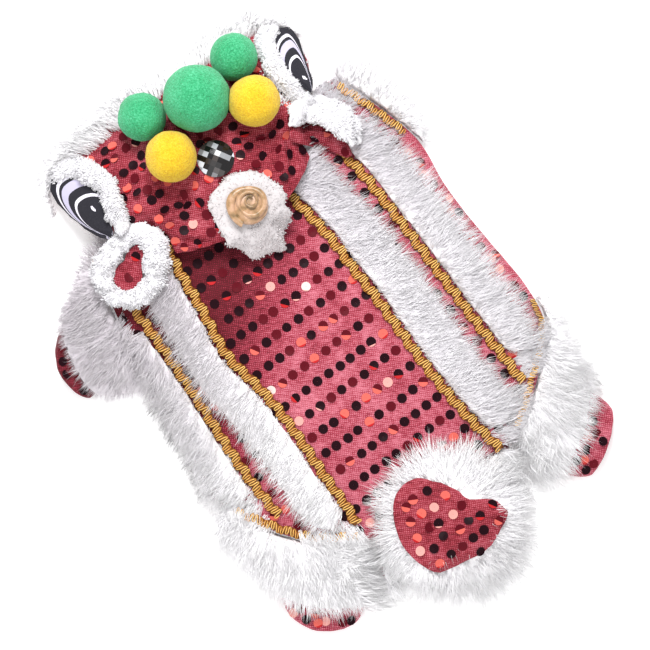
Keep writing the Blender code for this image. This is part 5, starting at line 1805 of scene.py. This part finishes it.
@dataclass(frozen=True)
class Pompom:
    """A clipped pompom that stands for one CAD node, a little fuller than its solid."""

    node: str
    finish: Finish
    slot: str
    fuller: float
    lumps: Pair = (9, 0.5)
    fuzz: Pair = (1.6, 0.28)
    gap: float = 0.15

    def ball(self) -> tuple[Vector, float]:
        """Its middle and radius in millimetres."""
        low, high = box_of(self.node)
        return (low + high) / 2, (high.x - low.x) / 2 * self.fuller

    def build(self, others: Iterable[Pompom], seed: int) -> bpy.types.Object:
        """Make the ball, pressed flat where it meets another.

        Args:
            others: The other pompoms.
            seed: Shifts its fuzz.

        Returns:
            The finished pompom.
        """
        middle, radius = self.ball()
        work = bmesh.new()
        bmesh.ops.create_icosphere(work, subdivisions=5, radius=radius * MM)
        bmesh.ops.translate(work, verts=work.verts, vec=middle * MM)
        mesh = mesh_from(work, self.node + "_fluff")
        points, facing = places(mesh), normals(mesh)
        lumps = noise_at(points, self.lumps[0], seed) * self.lumps[1]
        fuzz = noise_at(points, self.fuzz[0], seed + 3) * self.fuzz[1]
        points += facing * (lumps + fuzz)[:, None]
        for other in others:
            there, size = other.ball()
            between = np.array(there - middle)
            apart = float(np.linalg.norm(between))
            way = between / apart
            limit = (apart * apart + radius * radius - size * size) / (2 * apart) - self.gap
            past = (points - np.array(middle)) @ way - limit
            points -= np.clip(past, 0, None)[:, None] * way
        moved(mesh, points)
        mesh.shade_smooth()
        piece = settle(linked(self.node + "_fluff", mesh, self.finish), self.slot, self.node)
        return piece


POMPOMS = (
    Pompom("pompom_green_centre", Finish.GREEN, "green_yarn", 1.11),
    Pompom("pompom_green_left", Finish.GREEN, "green_yarn", 1.08),
    Pompom("pompom_green_right", Finish.GREEN, "green_yarn", 1.13),
    Pompom("pompom_yellow_left", Finish.YELLOW, "yellow_yarn", 1.14),
    Pompom("pompom_yellow_right", Finish.YELLOW, "yellow_yarn", 1.13),
)


@dataclass(frozen=True)
class CutStone:
    """The forehead's round dark stone, cut in square facets over a shallow dome, in millimetres."""

    node: str = "forehead_mirror"
    cells: int = 7
    edges: int = 32
    turn: float = 0.55
    dome: float = 0.68
    trim: float = 0.985

    def build(self) -> bpy.types.Object:
        """Cut the facets, trim them to a round and close the stone underneath."""
        low, high = box_of(self.node)
        middle, radius = (low + high) / 2, (high.x - low.x) / 2
        rise = (high.z - low.z) * self.dome
        work = bmesh.new()
        bmesh.ops.create_grid(work, x_segments=self.cells, y_segments=self.cells, size=radius * 1.02)
        for vertex in work.verts:
            vertex.co.z = -rise * (vertex.co.x ** 2 + vertex.co.y ** 2) / radius ** 2
        for edge in range(self.edges):
            turn = edge * math.tau / self.edges
            way = Vector((math.cos(turn), math.sin(turn), 0))
            everything = work.verts[:] + work.edges[:] + work.faces[:]
            bmesh.ops.bisect_plane(work, geom=everything, plane_co=way * radius * self.trim, plane_no=way,
                                   clear_outer=True)
        rim = [edge for edge in work.edges if edge.is_boundary]
        wall = bmesh.ops.extrude_edge_only(work, edges=rim)["geom"]
        foot = [part for part in wall if isinstance(part, bmesh.types.BMVert)]
        for vertex in foot:
            vertex.co.z = -(high.z - low.z) + 0.1
        loop = [part for part in wall if isinstance(part, bmesh.types.BMEdge)]
        bmesh.ops.contextual_create(work, geom=loop)
        bmesh.ops.recalc_face_normals(work, faces=work.faces)
        place = Matrix.Translation((middle.x, middle.y, high.z)) @ Matrix.Rotation(self.turn, 4, "Z")
        bmesh.ops.transform(work, matrix=Matrix.Scale(MM, 4) @ place, verts=work.verts)
        mesh = mesh_from(work, "forehead_stone")
        mesh.shade_flat()
        # A random number on each facet picks its painted reflection.
        kept(mesh, "lit", np.random.default_rng(6).random(len(mesh.polygons)), "FACE")
        return settle(linked("forehead_stone", mesh, Finish.GLASS), "smoky_stone", self.node)


@dataclass(frozen=True)
class Rosette:
    """A ribbon rolled into a rose: a strip that spirals out and folds over, in millimetres."""

    node: str = "nose_rosette"
    turns: float = 2.6
    steps: int = 150
    shift: Pair = (0.3, -2.6)
    heart: Pair = (2.6, 2.8)
    lip: tuple[Pair, ...] = ((-0.25, 0.0), (0.0, 0.45), (0.2, 0.85), (0.55, 1.0), (0.95, 0.93), (1.3, 0.68))
    wall: float = 0.45
    core: float = 0.7
    reach: float = 0.74
    widths: Pair = (0.9, 2.9)
    dome: Pair = (0.93, 0.55)

    def build(self) -> bpy.types.Object:
        """Roll the ribbon over a low dome."""
        low, high = box_of(self.node)
        middle, radius = (low + high) / 2 + Vector((*self.shift, 0)), (high.x - low.x) / 2
        height = high.z - low.z
        points, faces = [], []
        columns = len(self.lip)
        for step in range(self.steps):
            share = step / (self.steps - 1)
            angle = share * self.turns * math.tau
            out = self.core + (radius * self.reach - self.core) * share ** 1.15
            width = self.widths[0] + self.widths[1] * share
            wave = 1 + 0.16 * math.sin(angle * 1.7 + 1) + 0.10 * math.sin(angle * 3.1)
            heart = np.array(self.heart) * (1 - share) ** 0.8
            for across, up in self.lip:
                reach = out + across * width * wave
                lift = height * (0.60 + 0.36 * (1 - share)) * up * wave ** 0.5
                x, y = heart[0] + reach * math.cos(angle), heart[1] + reach * math.sin(angle)
                points.append(Vector((x, y, 0.2 + lift)))
        for step in range(self.steps - 1):
            for column in range(columns - 1):
                start = step * columns + column
                faces.append((start, start + columns, start + columns + 1, start + 1))
        mesh = bpy.data.meshes.new("nose_rose")
        mesh.from_pydata([(point + Vector((middle.x, middle.y, low.z))) * MM for point in points], [], faces)
        # Painted shade: the ribbon darkens toward the rose's heart.
        kept(mesh, "heart", np.repeat(1 - np.linspace(0, 1, self.steps), columns) ** 2)
        piece = linked("nose_rose", outward(mesh), Finish.SATIN)
        thicker = piece.modifiers.new("ribbon", "SOLIDIFY")
        thicker.thickness = self.wall * MM
        thicker.offset = 0.0
        smoother = piece.modifiers.new("smooth", "SUBSURF")
        smoother.levels = smoother.render_levels = 1
        baked(piece)
        self.add_dome(piece, middle, low.z, radius, height)
        piece.data.shade_smooth()
        return settle(piece, "gold_satin", self.node)

    def add_dome(self, piece: bpy.types.Object, middle: Vector, floor: float, radius: float,
                 height: float) -> None:
        """Put a closed dome under the ribbon into the same mesh.

        Args:
            piece: The ribbon.
            middle: Its middle, seen from above.
            floor: How high its foot is.
            radius: Its radius.
            height: Its height.
        """
        wide, high = self.dome
        foot = Vector((middle.x, middle.y, floor + self.core))
        with worked(piece.data) as work:
            dome = bmesh.ops.create_uvsphere(work, u_segments=32, v_segments=12, radius=1.0)["verts"]
            for vertex in dome:
                x, y, z = vertex.co
                spot = Vector((x * radius * wide, y * radius * wide, max(z, -0.1) * height * high))
                vertex.co = (spot + foot) * MM


@dataclass(frozen=True)
class Eye:
    """A printed felt eye that stands for one CAD node.

    The print's nested leaves share the eye's lower tip.
    """

    node: str
    tip: Pair
    far: Pair
    half_angles: Pair
    spark: Pair
    spark_turn: float
    shapers: tuple[object, ...] = ()
    spark_size: Pair = (2.4, 1.0)
    spark_leaf: float = 0.57

    def build(self) -> bpy.types.Object:
        """Refine the felt and mark how far out in the print each place is."""
        work = merged(self.node)
        bmesh.ops.triangulate(work, faces=work.faces)
        bmesh.ops.subdivide_edges(work, edges=work.edges, cuts=7, use_grid_fill=True)
        mesh = mesh_from(work, self.node + "_felt")
        mesh.shade_smooth()
        piece = linked(self.node + "_felt", mesh, Finish.EYE)
        reshaped(piece, self.shapers)
        points = places(mesh)
        axis = np.array(self.far) - np.array(self.tip)
        away = points[:, :2] - np.array(self.tip)
        turn = np.degrees(np.arctan2(axis[0] * away[:, 1] - axis[1] * away[:, 0], away @ axis))
        half = np.where(turn > 0, self.half_angles[0], self.half_angles[1])
        edge = np.linalg.norm(axis) * np.cos(np.radians(np.clip(np.abs(turn) / half, 0, 0.97) * 90))
        leaf = np.clip(np.hypot(away[:, 0], away[:, 1]) / edge, 0, 1)
        cosine, sine = math.cos(self.spark_turn), math.sin(self.spark_turn)
        beside = (points[:, :2] - np.array(self.spark)) @ np.array([[cosine, -sine], [sine, cosine]])
        beside /= self.spark_size
        leaf[np.hypot(beside[:, 0], beside[:, 1]) < 1] = self.spark_leaf
        kept(mesh, "leaf", leaf)
        return settle(piece, "eye_print", self.node)


@dataclass
class HatFace:
    """What sits on the hat: pompoms, stone, rosette and eyes."""

    pompoms: tuple[Pompom, ...] = POMPOMS
    stone: CutStone = CutStone()
    rosette: Rosette = Rosette()
    eyes: tuple[Eye, ...] = (
        Eye("eye_left", (-61.2, 116.9), (-67.6, 167.0), (33, 80), (-59.9, 136.2), 1.73,
            (Nudge(-70, 162, 22, -3.0, 5.0, 0.3), Nudge(-60, 123, 18, -2.0, -6.0))),
        Eye("eye_right", (84.1, 115.0), (94.2, 158.5), (45, 14), (86.2, 125.9), 1.73,
            (Nudge(93, 157, 24, 5.0, 2.5, 0.3), Nudge(87, 124, 15, 0.5, -5.0, 0.2))))

    def build(self) -> None:
        """Make them all."""
        for seed, pompom in enumerate(self.pompoms, 1):
            pompom.build([other for other in self.pompoms if other is not pompom], seed)
        self.stone.build()
        self.rosette.build()
        for eye in self.eyes:
            eye.build()


@dataclass
class PileWork:
    """All the fur and plush."""

    pieces: tuple[PilePiece, ...] = FUR_PIECES + PLUSH_PIECES

    def build(self) -> None:
        """Grow every piece's pile."""
        for seed, piece in enumerate(self.pieces, 1):
            piece.build(seed)


# Studio


@dataclass
class Studio:
    """Pale paper, a large soft lamp, and a camera straight above, turned as in the photograph."""

    aim: Pair = CAMERA_AIM
    turn: float = -35.69
    lens: float = 150.0
    sensor: float = 36.0
    view_width: float = 390.0
    lamp_way: tuple[float, float, float] = (0.42, 0.8, 1.25)
    lamp_away: float = 1100.0
    lamp_size: float = 450.0
    lamp_power: float = 13.0
    fill_way: tuple[float, float, float] = (-0.75, -0.7, 0.9)
    fill_size: float = 1600.0
    fill_power: float = 6.0
    sky: float = 0.68
    sky_colour: Colour = (1.0, 0.995, 0.99)
    floor_drop: float = 0.3

    def build(self) -> None:
        """Set up the floor, the light and the camera."""
        self.add_floor()
        self.add_lamp("soft_lamp", self.lamp_way, self.lamp_size, self.lamp_power)
        self.add_lamp("soft_fill", self.fill_way, self.fill_size, self.fill_power)
        self.add_sky()
        self.add_camera()
        bpy.context.scene.view_settings.view_transform = "Standard"

    def add_floor(self) -> None:
        """Lay the paper, a little under the costume."""
        work = bmesh.new()
        bmesh.ops.create_grid(work, x_segments=4, y_segments=4, size=3.0)
        mesh = mesh_from(work, "studio_floor")
        mesh.transform(Matrix.Translation((0, 0, -self.floor_drop * MM)))
        linked("studio_floor", mesh, Finish.PAPER)

    def add_lamp(self, name: str, toward: tuple[float, float, float], size: float, power: float) -> None:
        """Hang a round soft lamp that shines on the middle.

        Args:
            name: The lamp's name.
            toward: The direction in which it hangs.
            size: Its width in millimetres.
            power: Its power in watts.
        """
        lamp_data = bpy.data.lights.new(name, "AREA")
        lamp_data.shape, lamp_data.size, lamp_data.energy = "DISK", size * MM, power
        lamp = bpy.data.objects.new(name, lamp_data)
        way = Vector(toward).normalized()
        lamp.location = way * self.lamp_away * MM
        lamp.rotation_euler = way.to_track_quat("Z", "Y").to_euler()
        bpy.context.scene.collection.objects.link(lamp)

    def add_sky(self) -> None:
        """Light everything evenly from all round."""
        world = bpy.data.worlds.new("studio")
        world.use_nodes = True
        background = world.node_tree.nodes["Background"].inputs
        background["Color"].default_value = (*self.sky_colour, 1.0)
        background["Strength"].default_value = self.sky
        bpy.context.scene.world = world

    def add_camera(self) -> None:
        """Set the camera straight above, turned as in the photograph."""
        camera_data = bpy.data.cameras.new("camera")
        camera_data.lens, camera_data.sensor_width, camera_data.clip_end = self.lens, self.sensor, 20.0
        camera = bpy.data.objects.new("camera", camera_data)
        away = self.view_width * MM * self.lens / self.sensor
        camera.location = (self.aim[0] * MM, self.aim[1] * MM, away)
        camera.rotation_euler = (0.0, 0.0, math.radians(self.turn))
        bpy.context.scene.collection.objects.link(camera)
        bpy.context.scene.camera = camera


def main() -> None:
    """Dress the costume and light it."""
    logging.basicConfig(level=logging.INFO, format="%(message)s")
    Studio().build()
    Suit().build()
    HatFace().build()
    PileWork().build()


if __name__ == "__main__":
    main()
